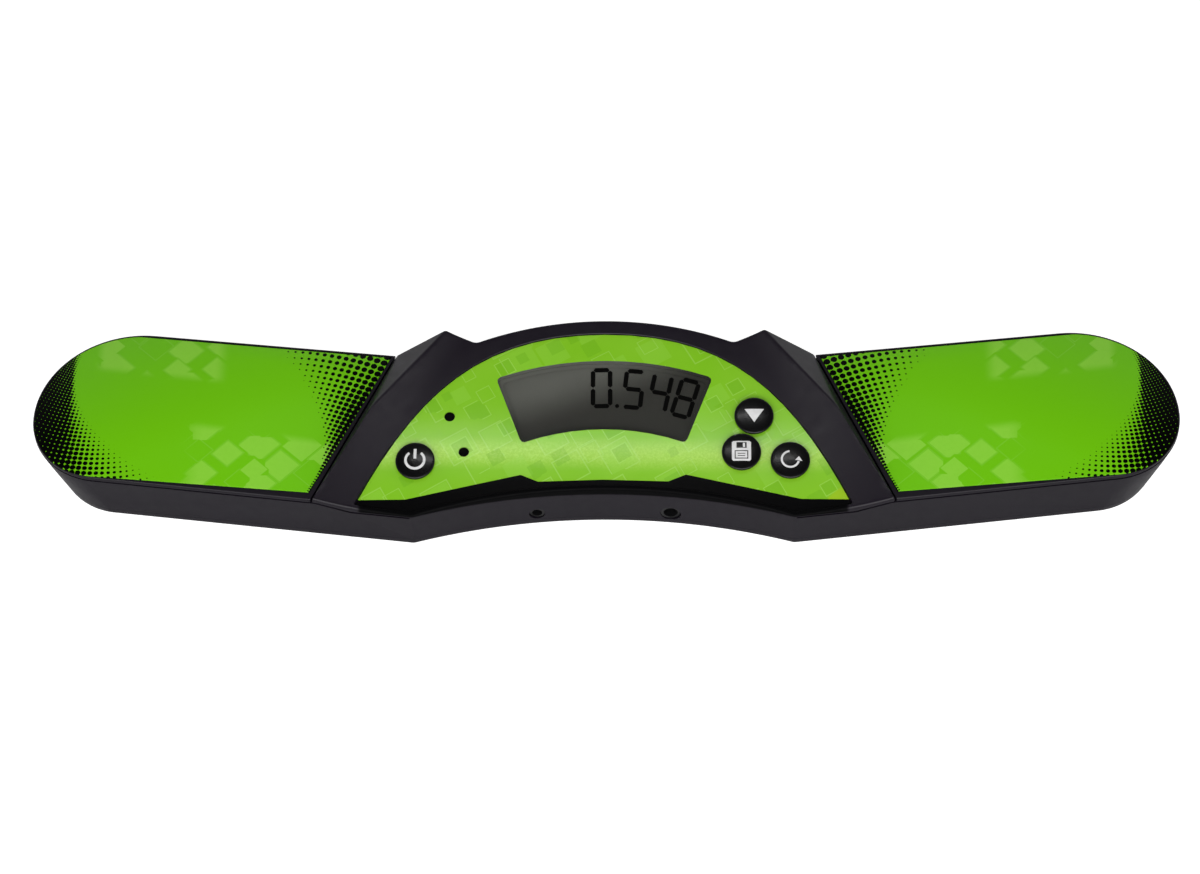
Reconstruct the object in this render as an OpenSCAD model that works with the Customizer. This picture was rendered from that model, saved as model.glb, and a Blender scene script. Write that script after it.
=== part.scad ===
// Speed cube timer: a long, low case with two touch-pad wings swept back from a raised
// console. X runs from left to right, Y from the user to the back, Z up. The origin is
// the middle of the footprint, on the table.

/* [Case] */
// Overall length, tip to tip
body_len = 290; // [270:0.2:320]
// Overall depth, front corners to the back of the wings
body_depth = 55.1; // [54:0.1:60]
// Height of the wing decks above the table
deck_z = 16.3; // [16:0.1:18]
// Wall thickness of the case
wall = 1.8; // [1.4:0.1:2.2]
// Thickness of the wing decks
deck_t = 1.8; // [1.4:0.1:2.2]
// Half distance between the two front corners
corner_x = 47.8; // [46:0.2:50]
// Rounding of the front corners
corner_r = 3; // [1:0.5:5]
// How far the concave front wall is drawn in at the middle
front_rise = 7; // [5:0.25:8]
// Sweep of the wings' front edge
front_sweep = 7.06; // [6:0.1:8]
// Sweep of the wings' back edge
back_sweep = 6.15; // [5.5:0.05:7]
// Rounding of each wing's outer back corner
end_back_r = 26.2; // [24:0.1:26.5]
// Rounding of each wing's outer front corner
end_front_r = 19; // [16:0.1:19]
// How far the wing tips are drawn in at the foot of the wall
tip_draft = 5.5; // [3:0.25:8]
// Height of the shadow groove under the rim
groove_h = 0.5; // [0.3:0.1:0.8]
// Depth of the shadow groove
groove_depth = 0.5; // [0.3:0.1:0.8]
// Height of the rim above the shadow groove
rim_h = 1.1; // [0.9:0.1:1.3]

/* [Bottom] */
// How far the rubber feet lift the case
foot_h = 1; // [0.8:0.1:2]
// Radius of a rubber foot
foot_r = 4.5; // [3.5:0.1:5]
// Depth of the recess that a foot is glued into
foot_recess = 0.6; // [0.4:0.1:0.8]
// Thickness of the bottom cover's floor
base_t = 2; // [1.8:0.1:2.4]
// Height of the bottom cover's rim
base_h = 2.3; // [2.3:0.1:2.8]
// Height of the tongue that locates the bottom cover
tongue_h = 1.4; // [1:0.1:2]
// Thickness of the tongue
tongue_t = 1.2; // [1:0.1:1.5]

/* [Console] */
// Radius of the curved console top, seen from the side
panel_r = 300; // [260:5:400]
// Slope of the console top at its front edge
panel_tilt = 15.5; // [14:0.25:17]
// Height of the console's front edge above the table
panel_front_z = 13.2; // [12.9:0.1:14]
// Wall thickness of the console cover
cover_t = 2; // [1.6:0.1:2.2]
// Slope of the bands' outer flanks
flank_slope = 58; // [52:1:62]
// Where a flank starts on the wing's front edge
flank_front_x = 72.8; // [72:0.1:74]
// Where a flank ends on the wing's back edge
flank_back_x = 53.4; // [52.5:0.1:54.5]
// Half distance between the shoulder points at the back
shoulder_x = 40.7; // [39.5:0.1:42]
// How far behind the centre line the shoulder points lie
shoulder_y = 23.8; // [23:0.1:24.5]
// Half distance between the notches beside the arch
notch_x = 32.8; // [31.5:0.1:34]
// Radius of the arch at the back
arch_r = 86; // [80:1:100]
// How far behind the centre line the arch's top lies
arch_y = 26.7; // [26.1:0.1:27]

/* [Face] */
// Depth of the overlay's surface below the bands
overlay_drop = 0.4; // [0.3:0.05:0.4]
// Thickness of the printed overlay
overlay_t = 0.35; // [0.3:0.05:0.4]
// Width of the console cover's front lip
lip_w = 1.3; // [1.2:0.1:1.6]
// Half width of the face at its front
face_x = 62.1; // [60:0.1:63]
// Distance behind the centre line of the face's top
face_y = 22.6; // [21.5:0.1:23]
// Outer radius of the curved display window
window_r = 78; // [77:0.1:79]
// Height of the window along its radius
window_h = 19.1; // [17:0.1:19.5]
// Half angle of the window
window_half = 20.5; // [19:0.1:21]
// Distance behind the centre line of the window's top
window_y = 14.9; // [14.4:0.1:15]
// Thickness of the window lens
window_t = 1.2; // [1:0.05:1.25]

/* [Controls] */
// Radius of the button heads
button_r = 4.95; // [4.5:0.05:5]
// Travel of a button
button_travel = 0.35; // [0.25:0.05:0.4]
// Radius of the button stems
stem_r = 3.5; // [3:0.1:3.7]
// Height of a tact switch body
switch_h = 1.7; // [1.5:0.1:1.75]
// Radius of the indicator lights
led_r = 1.25; // [1:0.05:1.4]

/* [Electronics] */
// Thickness of the circuit boards
board_t = 1; // [0.8:0.1:1.1]
// Width of the display glass
glass_w = 58; // [56:0.5:60]
// Height of the display glass
glass_h = 26; // [25:0.5:27]
// Thickness of the display glass
glass_t = 1.8; // [1.6:0.1:1.9]
// Half distance between the two jacks
jack_x = 16.8; // [15.5:0.1:18]
// Height of the jack axes above the table
jack_z = 5.7; // [5.6:0.1:6]
// Bore radius of the data jack
data_bore_r = 1.8; // [1.75:0.05:1.9]
// Bore radius of the smaller display jack
display_bore_r = 1.3; // [1.25:0.05:1.4]

/* [Power] */
// Radius of a cell
cell_r = 5.25; // [5:0.05:5.25]
// Length of a cell with its button
cell_len = 44.5; // [43:0.1:45]
// Thickness of the battery door
door_t = 1.2; // [1:0.1:1.3]
// Turns of a battery spring
spring_turns = 4; // [3:1:4]
// Wire radius of a battery spring
spring_wire_r = 0.28; // [0.2:0.01:0.3]

/* [Pads] */
// Thickness of the printed pad overlays
pad_t = 0.4; // [0.3:0.05:0.6]
// Thickness of the sensor plates
plate_t = 0.3; // [0.2:0.05:0.4]
// Rim left behind a pad
pad_edge = 0.7; // [0.6:0.1:1.2]
// Rim left at the tip of a wing
pad_tip_edge = 0.5; // [0.5:0.1:1]
// Rim left in front of a pad, at its inner end
pad_front_edge = 2.2; // [1.8:0.1:3]
// Sweep of a pad's front edge
pad_sweep = 5.26; // [5:0.1:6]

/* [Fasteners] */
// Shank radius of the case screws
screw_r = 1.15; // [1:0.05:1.3]
// Head radius of the case screws
screw_head_r = 2.2; // [2:0.1:2.4]
// Shank radius of the board screws
board_screw_r = 0.8; // [0.7:0.05:0.9]

/* [Hidden] */
$fn = 64;

shell_black = [0.17, 0.165, 0.185];
gloss_black = [0.03, 0.03, 0.035];
print_green = [0.42, 0.73, 0.13];
board_green = [0.05, 0.35, 0.18];
metal = [0.75, 0.75, 0.77];

fit = 0.1;       // clearance between pieces that drop into each other
seat = 0.05;     // gap left between seated faces
arc_step = 6;    // degrees between the points of a rounded corner
arc_cuts = 8;    // pieces that half of a long arc is cut into
far = 400;       // larger than the object

half_len = body_len / 2;
half_depth = body_depth / 2;
seam_z = foot_h + base_h;
floor_z = foot_h + base_t;
rim_z = deck_z - rim_h;
groove_z = rim_z - groove_h;
seam_top_z = panel_front_z - 0.5;   // where the console cover's edge meets the main shell
ledge_z = seam_top_z - 1.05;        // the ledge inside, which the cover rests on
ledge_t = 1.6;
ledge_w = 3;
edge_w = 0.6;                       // thickness of the shell's edge in front of the cover
band_edge = 1.1;                    // height of the cover's edge below the bands
channel_w = 0.35;
recess_z = deck_z + 0.1 - pad_t - plate_t;

// ---- plan outlines: lists of corners [x, y, rounding], anticlockwise ----

function unit(v) = v / norm(v);
function flat(p) = [p.x, p.y];

// Moves every side of a corner list inward by d
function shrink(c, d) = [
    for (i = [0 : len(c) - 1])
        let (
            p = c[i],
            u = unit(flat(p) - flat(c[(i + len(c) - 1) % len(c)])),
            v = unit(flat(c[(i + 1) % len(c)]) - flat(p)),
            k = d / (1 + u * v),
            turn = u.x * v.y - u.y * v.x
        )
        [p.x - k * (u.y + v.y), p.y + k * (u.x + v.x),
            p.z == 0 ? 0 : max(turn > 0 ? p.z - d : p.z + d, 0.05)]
];

// The points of one corner, rounded with radius r
function corner(a, p, b, r) =
    let (
        u = unit(a - p),
        v = unit(b - p),
        half = acos(u * v) / 2,
        reach = r / tan(half),
        centre = p + unit(u + v) * r / sin(half),
        first = p + u * reach - centre,
        last = p + v * reach - centre,
        from = atan2(first.y, first.x),
        sweep = (atan2(last.y, last.x) - from + 540) % 360 - 180,
        steps = max(1, ceil(abs(sweep) / arc_step))
    )
    [for (s = [0 : steps]) centre + r * [cos(from + sweep * s / steps), sin(from + sweep * s / steps)]];

function rounded(c) = [
    for (i = [0 : len(c) - 1])
        let (p = c[i])
        for (q = p.z == 0 ? [flat(p)]
            : corner(flat(c[(i + len(c) - 1) % len(c)]), flat(p), flat(c[(i + 1) % len(c)]), p.z))
            q
];

// Completes a right half, which runs from the front centre to the back centre
function both_sides(c) = concat(c, [for (i = [len(c) - 2 : -1 : 1]) [-c[i].x, c[i].y, c[i].z]]);

front_arc_r = (corner_x * corner_x + front_rise * front_rise) / (2 * front_rise);
function front_arc_y(x) = front_rise - half_depth - front_arc_r + sqrt(front_arc_r * front_arc_r - x * x);
function front_line_y(x) = (x - corner_x) * tan(front_sweep) - half_depth;
end_back = [half_len - end_back_r, half_depth - end_back_r];
function back_line_y(x) = end_back.y + end_back_r / cos(back_sweep) + (x - end_back.x) * tan(back_sweep);
function arch_line_y(x) = arch_y - arch_r + sqrt(arch_r * arch_r - x * x);

// A wing's front corner, as round as its tip has room for beside the back corner
function front_corner_r(r, depth, back_r, sweep) =
    min(r, (depth - back_r / tan((90 - back_sweep) / 2)) * tan((90 + sweep) / 2) - 0.02);
front_r = front_corner_r(end_front_r, back_line_y(half_len) - front_line_y(half_len), end_back_r,
    front_sweep);

front_arc = [for (k = [0 : arc_cuts - 1]) let (x = corner_x * k / arc_cuts) [x, front_arc_y(x), 0]];
arch = [for (k = [arc_cuts : -1 : 0]) let (x = notch_x * k / arc_cuts) [x, arch_line_y(x), 0]];

console_plan = both_sides(concat(front_arc,
    [[corner_x, -half_depth, corner_r],
     [flank_front_x, front_line_y(flank_front_x), 0],
     [flank_back_x, back_line_y(flank_back_x), 0],
     [shoulder_x, shoulder_y, 0]],
    arch));

body_plan = both_sides(concat(front_arc,
    [[corner_x, -half_depth, corner_r],
     [half_len, front_line_y(half_len), front_r],
     [half_len, back_line_y(half_len), end_back_r],
     [flank_back_x, back_line_y(flank_back_x), 0],
     [shoulder_x, shoulder_y, 0]],
    arch));

pad_margin = 1.4; // from a flank's foot to the pad
pad_plan =
    let (
        end = half_len - pad_tip_edge,
        xf = flank_front_x + pad_margin - 0.75,
        xb = flank_back_x + pad_margin,
        yf = front_line_y(xf) + pad_front_edge,
        ye = yf + (end - xf) * tan(pad_sweep),
        yb = back_line_y(end) - pad_edge
    )
    [[xf, yf, 0],
     [end, ye, front_corner_r(end_front_r - 1.5, yb - ye, end_back_r - pad_edge, pad_sweep)],
     [end, yb, end_back_r - pad_edge],
     [xb, back_line_y(xb) - pad_edge, 0]];

// The face: an arch, level at the top and straight at its feet, over a front edge along the lip
face_lean = 63; // slope of the arch's feet
face_pull = 32; // how far the arch's top runs level before it falls
foot_pull = 33; // how far its feet run straight
face_front_y = front_line_y(face_x) + lip_w;
function face_arch(t) =
    let (
        a = [0, face_y],
        b = [face_pull, face_y],
        d = [face_x, face_front_y],
        c = d + foot_pull * [-cos(face_lean), sin(face_lean)]
    )
    pow(1 - t, 3) * a + 3 * t * pow(1 - t, 2) * b + 3 * t * t * (1 - t) * c + pow(t, 3) * d;
face_top = [for (k = [0 : 14]) face_arch(k / 14)];
face_right = concat(
    [for (p = shrink(console_plan, lip_w)) if (p.x >= 0 && p.x < corner_x + lip_w && p.y < 0) p],
    [[face_x, face_front_y, 0.3]],
    [for (k = [13 : -1 : 0]) [face_top[k].x, face_top[k].y, 0]]);
face_plan = both_sides(face_right);

// The strip in front of the printed field, with its two raised points
strip_mid = [0, front_rise - half_depth + 2.85];
strip_foot = [16.3, strip_mid.y - 0.5];
strip_peak = [20.7, strip_mid.y + 1.3];
strip_bend = [49.5, strip_mid.y - 5.1];
strip_end = [face_x + 1, strip_mid.y - 5.25];
strip_right = [strip_mid, strip_foot, strip_peak, strip_bend, strip_end, [face_x + 1, -half_depth - 1]];
strip_plan = concat(strip_right, [for (i = [5 : -1 : 1]) [-strip_right[i].x, strip_right[i].y]]);

// ---- the curved console top ----

panel_axis = [panel_r * sin(panel_tilt) - half_depth, panel_front_z - panel_r * cos(panel_tilt)];
// The point that the buttons' and the board's frame is set on
face_mid_y = -10;
face_tilt = asin((panel_axis.x - face_mid_y) / panel_r);
function panel_z(y) = panel_axis.y + sqrt(panel_r * panel_r - pow(panel_axis.x - y, 2));
face_mid_z = panel_z(face_mid_y);

// Everything below the console top, lowered by drop
module under_panel(drop) {
    translate([0, panel_axis.x, panel_axis.y])
        rotate([0, 90, 0])
            cylinder(r = panel_r - drop, h = far, center = true, $fn = 360);
}

// A skin of the console top between two depths, cut to the outline given as children
module panel_skin(top, bottom) {
    intersection() {
        difference() {
            under_panel(top);
            under_panel(bottom);
        }
        linear_extrude(2 * deck_z + 10)
            children();
    }
}

// Places children on the face: x across, y up the slope, z out of it
module on_face(x, y, z) {
    translate([0, face_mid_y, face_mid_z])
        rotate([face_tilt, 0, 0])
            translate([x, y, z])
                children();
}

module outline(c, inset = 0) {
    polygon(rounded(shrink(c, inset)));
}

// Everything in front of the concave front wall, and d mm behind it
module front_tube(d, z) {
    translate([0, front_rise - half_depth - front_arc_r, z])
        cylinder(r = front_arc_r + d, h = 3 * deck_z, $fn = 360);
}

module slab(z0, z1) {
    translate([0, 0, z0])
        linear_extrude(z1 - z0)
            children();
}

module each_side() {
    children();
    mirror([1, 0, 0])
        children();
}

// The half of space above the plane through three points, or the half below it
module half_space(points, drop, above) {
    n = unit(cross(points[1] - points[0], points[2] - points[0]));
    up = n.z < 0 ? -n : n;
    translate(points[0] - up * drop)
        rotate([0, acos(up.z), atan2(up.y, up.x)])
            translate([-far / 2, -far / 2, above ? 0 : -far])
                cube(far);
}

// ---- the drawn-in wing tips: each wing's outline, leaning inward to the foot of the wall ----

wing_angle = (front_sweep + back_sweep) / 2;
tip_lean = atan(tip_draft / (groove_z - foot_h));
tip_slack = 0.15;
wing_x = 60;
wing_end = [[wing_x, front_line_y(wing_x), 0],
    [half_len, front_line_y(half_len), front_r],
    [half_len, back_line_y(half_len), end_back_r],
    [wing_x, back_line_y(wing_x), 0]];

module leaning_wing(inset) {
    along = [cos(wing_angle), sin(wing_angle)];
    across = [-sin(wing_angle), cos(wing_angle)];
    translate([0, 0, groove_z])
        rotate([0, tip_lean, wing_angle])
            linear_extrude(far, center = true)
                polygon([for (p = rounded(shrink(wing_end, inset - tip_slack)))
                    [p * along * cos(tip_lean), p * across]]);
}

// The whole case between two heights
module body(z0, z1, inset) {
    difference() {
        slab(z0, z1)
            outline(body_plan, inset);
        each_side()
            difference() {
                box([wing_x + 40, far], [-far, far], [-1, groove_z]);
                leaning_wing(inset);
            }
    }
}

module box(x, y, z) {
    translate([x[0], y[0], z[0]])
        cube([x[1] - x[0], y[1] - y[0], z[1] - z[0]]);
}

module rod(p, r, z0, z1) {
    translate([p.x, p.y, z0])
        cylinder(r = r, h = z1 - z0);
}

// Rod along +Y from y0 to y1
module rod_y(x, z, r, y0, y1) {
    translate([x, y0, z])
        rotate([-90, 0, 0])
            cylinder(r = r, h = y1 - y0);
}

// Rod along +X from x0 to x1
module rod_x(y, z, r, x0, x1) {
    translate([x0, y, z])
        rotate([0, 90, 0])
            cylinder(r = r, h = x1 - x0);
}

// Tube along a path; across is a direction that the path never runs in
module tube(path, r, across, sides = 8) {
    n = len(path);
    rings = [for (i = [0 : n - 1])
        let (
            t = unit(path[min(i + 1, n - 1)] - path[max(i - 1, 0)]),
            u = unit(cross(t, across)),
            v = cross(t, u)
        )
        for (s = [0 : sides - 1]) path[i] + r * (cos(360 * s / sides) * u + sin(360 * s / sides) * v)];
    walls = [for (i = [0 : n - 2], s = [0 : sides - 1])
        let (a = i * sides + s, b = i * sides + (s + 1) % sides)
        for (f = [[a, b, a + sides], [b, b + sides, a + sides]]) f];
    caps = [for (s = [1 : sides - 2])
        for (f = [[0, s + 1, s], [(n - 1) * sides, (n - 1) * sides + s, (n - 1) * sides + s + 1]]) f];
    polyhedron(points = rings, faces = concat(walls, caps));
}

// ---- fastening points ----

wing_screws = [[100, 18], [100, -14], [131.5, -3]];
front_screw = [44, front_arc_y(44) + 6.1];
long_screw = [43, 14.5];
boss_r = 3;
pad_boss_t = 3;            // bottom cover's thickness round a screw
screw_head_t = 1.5;
short_screws = concat(wing_screws, [front_screw]);
feet = [[124, 8], [60, -17], [58, 11]];
boss_foot_z = foot_h + pad_boss_t;
web_z = seam_z + tongue_h + 0.2;

// ---- depths below the face, in the face's own frame ----

overlay_top = -overlay_drop;
cover_under = -(overlay_drop + overlay_t + 1.5);
button_seat = cover_under - 0.25;
button_flange = 0.7;
button_nub = 0.3;
pin_top = button_seat - button_flange - button_nub;
board_top = pin_top - 0.02 - 0.53 - switch_h;
board_under = board_top - board_t;
head_gap = button_travel + 0.2;
head_t = 0.9;
head_dome_r = 24;

holder_wall = 1.3;

// Across the face and up its slope; the right-hand buttons stand beside the display
save_x = glass_w / 2 + holder_wall + 4.3;
power_at = [-47.2, -3.3];
down_at = [save_x + 3.2, 8.9];
save_at = [save_x, -1];
reset_at = [save_x + 12.2, -3.3];
buttons = [power_at, down_at, save_at, reset_at];
left_led_at = [-38.9, 9.4];
right_led_at = [-35.1, -0.4];
board_screw_at = [[51.5, 7.5], [-51.5, 7.5], [30, -6.4], [-30, -6.4]];

glass_y = 0.5;             // lower edge of the display glass, up the slope
glass_top = cover_under - 0.5;
glass_under = glass_top - glass_t;
holder_lip = 0.6;

// ---- shells ----

module main_outer() {
    body(seam_z, groove_z, 0);
    slab(groove_z - 1, rim_z + 0.5)
        outline(body_plan, groove_depth);
    slab(rim_z, deck_z)
        outline(body_plan);
}

// Everything below the console cover's outer edge, raised by rise
module under_edge(rise) {
    box([-far, far], [-far, far], [-1, seam_top_z + rise]);
    each_side()
        intersection() {
            box([face_x - 4, flank_front_x + 6], [-far, shoulder_y - 40], [-1, rim_z + rise]);
            half_space(band, band_edge - rise, false);
        }
}

// The shell's edge, which hides the foot of the console cover
module shell_edge(rise, gap) {
    difference() {
        under_edge(rise);
        slab(-2, far)
            outline(body_plan, edge_w + gap);
    }
}

module main_shell() {
    deck_under = deck_z - deck_t;
    ledge_under = ledge_z - ledge_t;
    color(shell_black)
        difference() {
            union() {
                difference() {
                    main_outer();
                    // room for the console cover, above the ledge
                    difference() {
                        slab(ledge_z, deck_z + 1)
                            outline(console_plan, -channel_w);
                        shell_edge(-groove_h, 0);
                        intersection() {
                            shell_edge(0, 0);
                            union() {
                                box([-corner_x - 0.5, corner_x + 0.5], [-far, far], [0, far]);
                                box([-far, far], [-10, far], [0, far]);
                            }
                        }
                    }
                    // wing hollows
                    difference() {
                        body(seam_z - 1, deck_under, wall);
                        slab(ledge_under, deck_z)
                            outline(console_plan, -channel_w - wall);
                    }
                    slab(seam_z - 1, ledge_z + 1)
                        outline(console_plan, ledge_w);
                }
                each_side() {
                    for (p = wing_screws)
                        rod(p, boss_r, boss_foot_z + seat, deck_under + 0.5);
                    rod(front_screw, boss_r, boss_foot_z + seat, ledge_z);
                    box([front_screw.x - 1, front_screw.x + 1],
                        [front_arc_y(front_screw.x - 1) + 1, front_screw.y - 2], [web_z, ledge_under + 0.5]);
                    rod(long_screw, boss_r + 0.6, boss_foot_z + seat, ledge_z);
                    box([long_screw.x - 1, long_screw.x + 1], [long_screw.y + 3, shoulder_y - 1.4],
                        [web_z, ledge_under + 0.5]);
                }
            }
            each_side() {
                for (p = short_screws)
                    rod(p, screw_r + seat, 0, ledge_under);
                rod(long_screw, screw_r + 0.3, 0, ledge_z + 1);
                // recess for the sensor plate and the pad
                slab(recess_z, deck_z + 1)
                    outline(pad_plan, -fit);
                rod([lead_x, 0], lead_hole_r, 0, deck_z);
            }
            rod_y(jack_x, jack_z, data_nose_r + fit, -half_depth, -15);
            rod_y(-jack_x, jack_z, display_nose_r + fit, -half_depth, -15);
        }
}

module bottom_cover() {
    color(shell_black)
        difference() {
            union() {
                difference() {
                    union() {
                        body(foot_h, seam_z - seat, 0);
                        // tongue inside the main shell's wall
                        body(seam_z - 1, seam_z + tongue_h, wall + fit);
                    }
                    body(floor_z, seam_z + 9, wall + fit + tongue_t);
                    // gaps in the tongue for the shell's bosses and the jacks
                    each_side() {
                        for (p = concat(short_screws, [long_screw]))
                            rod(p, boss_r + 0.9, boss_foot_z, far);
                        box([jack_x - jack_body.x / 2 - 0.4, jack_x + jack_body.x / 2 + 0.4],
                            [jack_front_y - 0.7, -15], [floor_z, far]);
                    }
                }
                each_side() {
                    for (p = short_screws)
                        rod(p, boss_r + 0.4, foot_h, boss_foot_z);
                    rod(long_screw, boss_r + 0.6, foot_h, boss_foot_z);
                    rod([board_post_x, io_post_y], 2, foot_h, io_board_z - seat);
                }
                battery_box();
            }
            battery_room();
            each_side() {
                for (p = concat(short_screws, [long_screw])) {
                    rod(p, screw_r + 0.15, 0, far);
                    rod(p, screw_head_r + 0.15, 0, foot_h + screw_head_t + 0.1);
                }
                for (p = feet)
                    rod(p, foot_r + 0.1, 0, foot_h + foot_recess);
                rod([board_post_x, io_post_y], board_screw_r + seat, foot_h + 1, far);
            }
        }
}

// ---- batteries, lying across under the display ----

front_cell_y = 2.7;
cell_pitch = 2 * cell_r + 0.3;
rear_cell_y = front_cell_y + cell_pitch;
cell_z = foot_h + door_t + 0.1 + cell_r;
cell_room_r = cell_r + 0.2;
box_t = 0.8;
nub_len = 1;
nub_r = 1.9;
lead_z = cell_z + 3;        // height at which the leads leave the contact plates
room_x = 25;               // half length of the battery room
plate_x = 0.4;             // thickness of the contact plates
door_edge = 1.2;           // how far the door overlaps the floor round the opening
door_hook = 1.3;
hook_t = 0.9;
door_y = [front_cell_y - cell_room_r + 0.6 - door_edge, rear_cell_y + cell_room_r - 0.6 + door_edge];
door_x = room_x - 0.6 + door_edge;

module battery_box() {
    for (y = [front_cell_y, rear_cell_y])
        rod_x(y, cell_z, cell_room_r + box_t, -room_x - box_t, room_x + box_t);
    box([-room_x - box_t, room_x + box_t],
        [front_cell_y - cell_room_r - box_t, rear_cell_y + cell_room_r + box_t],
        [foot_h, cell_z]);
}

module battery_room() {
    for (y = [front_cell_y, rear_cell_y])
        rod_x(y, cell_z, cell_room_r, -room_x, room_x);
    box([-room_x, room_x], [front_cell_y, rear_cell_y], [cell_z, cell_z + cell_room_r * 0.4]);
    box([-room_x, room_x], [front_cell_y - cell_room_r, rear_cell_y + cell_room_r],
        [floor_z + hook_t + 0.4, cell_z]);
    // opening through the floor, and the stepped seat of the door
    box([-room_x + 0.6, room_x - 0.6], [door_y[0] + door_edge, door_y[1] - door_edge], [0, cell_z]);
    box([-door_x - fit, door_x + fit], [door_y[0] - fit, door_y[1] + fit], [0, foot_h + door_t + seat]);
    // pockets for the door's two hooks, and holes for the leads
    for (x = [-1, 1])
        box([x * hook_x - 3.2, x * hook_x + 3.2], [door_y[0] - door_hook - 0.4, door_y[0] + 3],
            [foot_h + door_t, foot_h + door_t + hook_t + 1]);
    for (y = [front_cell_y, rear_cell_y])
        rod_x(y, lead_z, lead_r + 0.2, -room_x - 5, -room_x + 1);
}

hook_x = 15;

module battery_door() {
    hook_z = foot_h + door_t + seat;
    color(shell_black) {
        difference() {
            union() {
                box([-door_x, door_x], [door_y[0] + door_t / 2, door_y[1]], [foot_h, foot_h + door_t]);
                // round nose, on which the door swings open
                rod_x(door_y[0] + door_t / 2, foot_h + door_t / 2, door_t / 2, -door_x, door_x);
            }
            // finger grip
            for (k = [0 : 4])
                box([-6, 6], [door_y[1] - 6 + k * 1.1, door_y[1] - 5.5 + k * 1.1], [0, foot_h + 0.4]);
        }
        for (x = [-hook_x, hook_x]) {
            box([x - 3, x + 3], [door_y[0] + door_edge + 0.2, door_y[0] + door_edge + 1.2],
                [foot_h + door_t - 0.1, hook_z + hook_t]);
            box([x - 3, x + 3], [door_y[0] - door_hook + 0.3, door_y[0] + door_edge + 1.2],
                [hook_z + 0.3, hook_z + hook_t]);
        }
    }
}

module cell(y, flip) {
    can_len = cell_len - nub_len;
    nub_tip = room_x - plate_x - seat;
    color([0.2, 0.2, 0.22])
        mirror([flip, 0, 0]) {
            rod_x(y, cell_z, cell_r, nub_len - nub_tip, nub_len - nub_tip + can_len);
            rod_x(y, cell_z, nub_r, -nub_tip, nub_len - nub_tip + 0.1);
        }
}

module front_cell() { cell(front_cell_y, 0); }
module rear_cell() { cell(rear_cell_y, 1); }

spring_r = 3.3;
spring_from = cell_len - (room_x - plate_x - seat) + seat;
spring_to = room_x - plate_x - seat;
function spring_path(y, flip) =
    let (n = spring_turns * 12, run = spring_to - spring_from - 2 * spring_wire_r)
    [for (k = [0 : n])
        let (a = 360 * k / 12, r = spring_r * (1 - 0.25 * (n - k) / n))
        [flip * (spring_from + spring_wire_r + run * k / n), y + r * cos(a), cell_z + r * sin(a)]];

module battery_springs() {
    color(metal) {
        tube(spring_path(front_cell_y, 1), spring_wire_r, [1, 0, 0], 6);
        mirror([1, 0, 0])
            tube(spring_path(rear_cell_y, 1), spring_wire_r, [1, 0, 0], 6);
    }
}

// Contact plates, as large as the round ends of the battery room let them be
plate_half = cell_room_r * 0.71 - 0.15;

module contact_plate(y) {
    box([-room_x + seat, -room_x + plate_x], [y - plate_half, y + plate_half],
        [cell_z - plate_half, cell_z + plate_half]);
}

module battery_terminals() {
    color(metal) {
        contact_plate(front_cell_y);
        contact_plate(rear_cell_y);
    }
}

module battery_bridge() {
    color(metal)
        mirror([1, 0, 0]) {
            contact_plate(front_cell_y);
            contact_plate(rear_cell_y);
            box([-room_x + seat, -room_x + plate_x], [front_cell_y, rear_cell_y],
                [floor_z + hook_t + 0.6, cell_z + cell_room_r * 0.4 - 0.2]);
        }
}

// ---- console ----

// The bands beside the face, and the two slopes on the outer side of each
peak = [shoulder_x, shoulder_y, panel_z(shoulder_y)];
flank_front = [flank_front_x, front_line_y(flank_front_x), deck_z];
flank_back = [flank_back_x, back_line_y(flank_back_x), deck_z];
flank_out = unit([flank_back.y - flank_front.y, flank_front.x - flank_back.x, 0]);
flank_rise = 4.4;
flank_top = flank_front + 0.6 * (flank_back - flank_front) + [0, 0, flank_rise]
    - flank_out * flank_rise / tan(flank_slope);
band = [[flank_front_x - 1.8, front_line_y(flank_front_x - 1.8) + 0.7, deck_z],
    [face_x + 1, front_line_y(face_x + 1) + 0.1, panel_z(front_line_y(face_x + 1)) + 0.2],
    peak + [0.3, 0, 0]];
steep_flank = [flank_front, flank_back, flank_top];
back_flank = [peak + [0.5, 0, 0], flank_back + [-0.2, 0, 0.3], flank_top];

// The console's solid, lowered by drop and drawn in by inset
module console_body(drop, inset, z0) {
    difference() {
        intersection() {
            union() {
                under_panel(drop);
                each_side()
                    half_space(band, max(drop, 1.5 * inset), false);
            }
            slab(z0, 2 * deck_z)
                outline(console_plan, inset);
        }
        each_side() {
            half_space(steep_flank, inset, true);
            half_space(back_flank, inset, true);
        }
    }
}

module window_plan(inset) {
    centre_y = window_y - window_r;
    a = window_half - inset * 180 / PI / window_r;
    steps = 10;
    arc = function (r, from, to) [for (k = [0 : steps])
        let (t = from + (to - from) * k / steps) [r * sin(t), centre_y + r * cos(t)]];
    corner_cut = 1.2;
    cut = corner_cut / window_r * 180 / PI;
    outer = window_r - inset;
    inner = window_r - window_h + inset;
    polygon(concat(
        arc(outer, a - cut, -a + cut),
        [[-(outer - 0.35) * sin(a - cut / 3.4), centre_y + (outer - 0.35) * cos(a - cut / 3.4)]],
        arc(outer - corner_cut, -a, -a),
        arc(inner + corner_cut, -a, -a),
        [[-(inner + 0.35) * sin(a - cut / 3.4), centre_y + (inner + 0.35) * cos(a - cut / 3.4)]],
        arc(inner, -a + cut, a - cut),
        [[(inner + 0.35) * sin(a - cut / 3.4), centre_y + (inner + 0.35) * cos(a - cut / 3.4)]],
        arc(inner + corner_cut, a, a),
        arc(outer - corner_cut, a, a),
        [[(outer - 0.35) * sin(a - cut / 3.4), centre_y + (outer - 0.35) * cos(a - cut / 3.4)]]));
}

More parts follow.
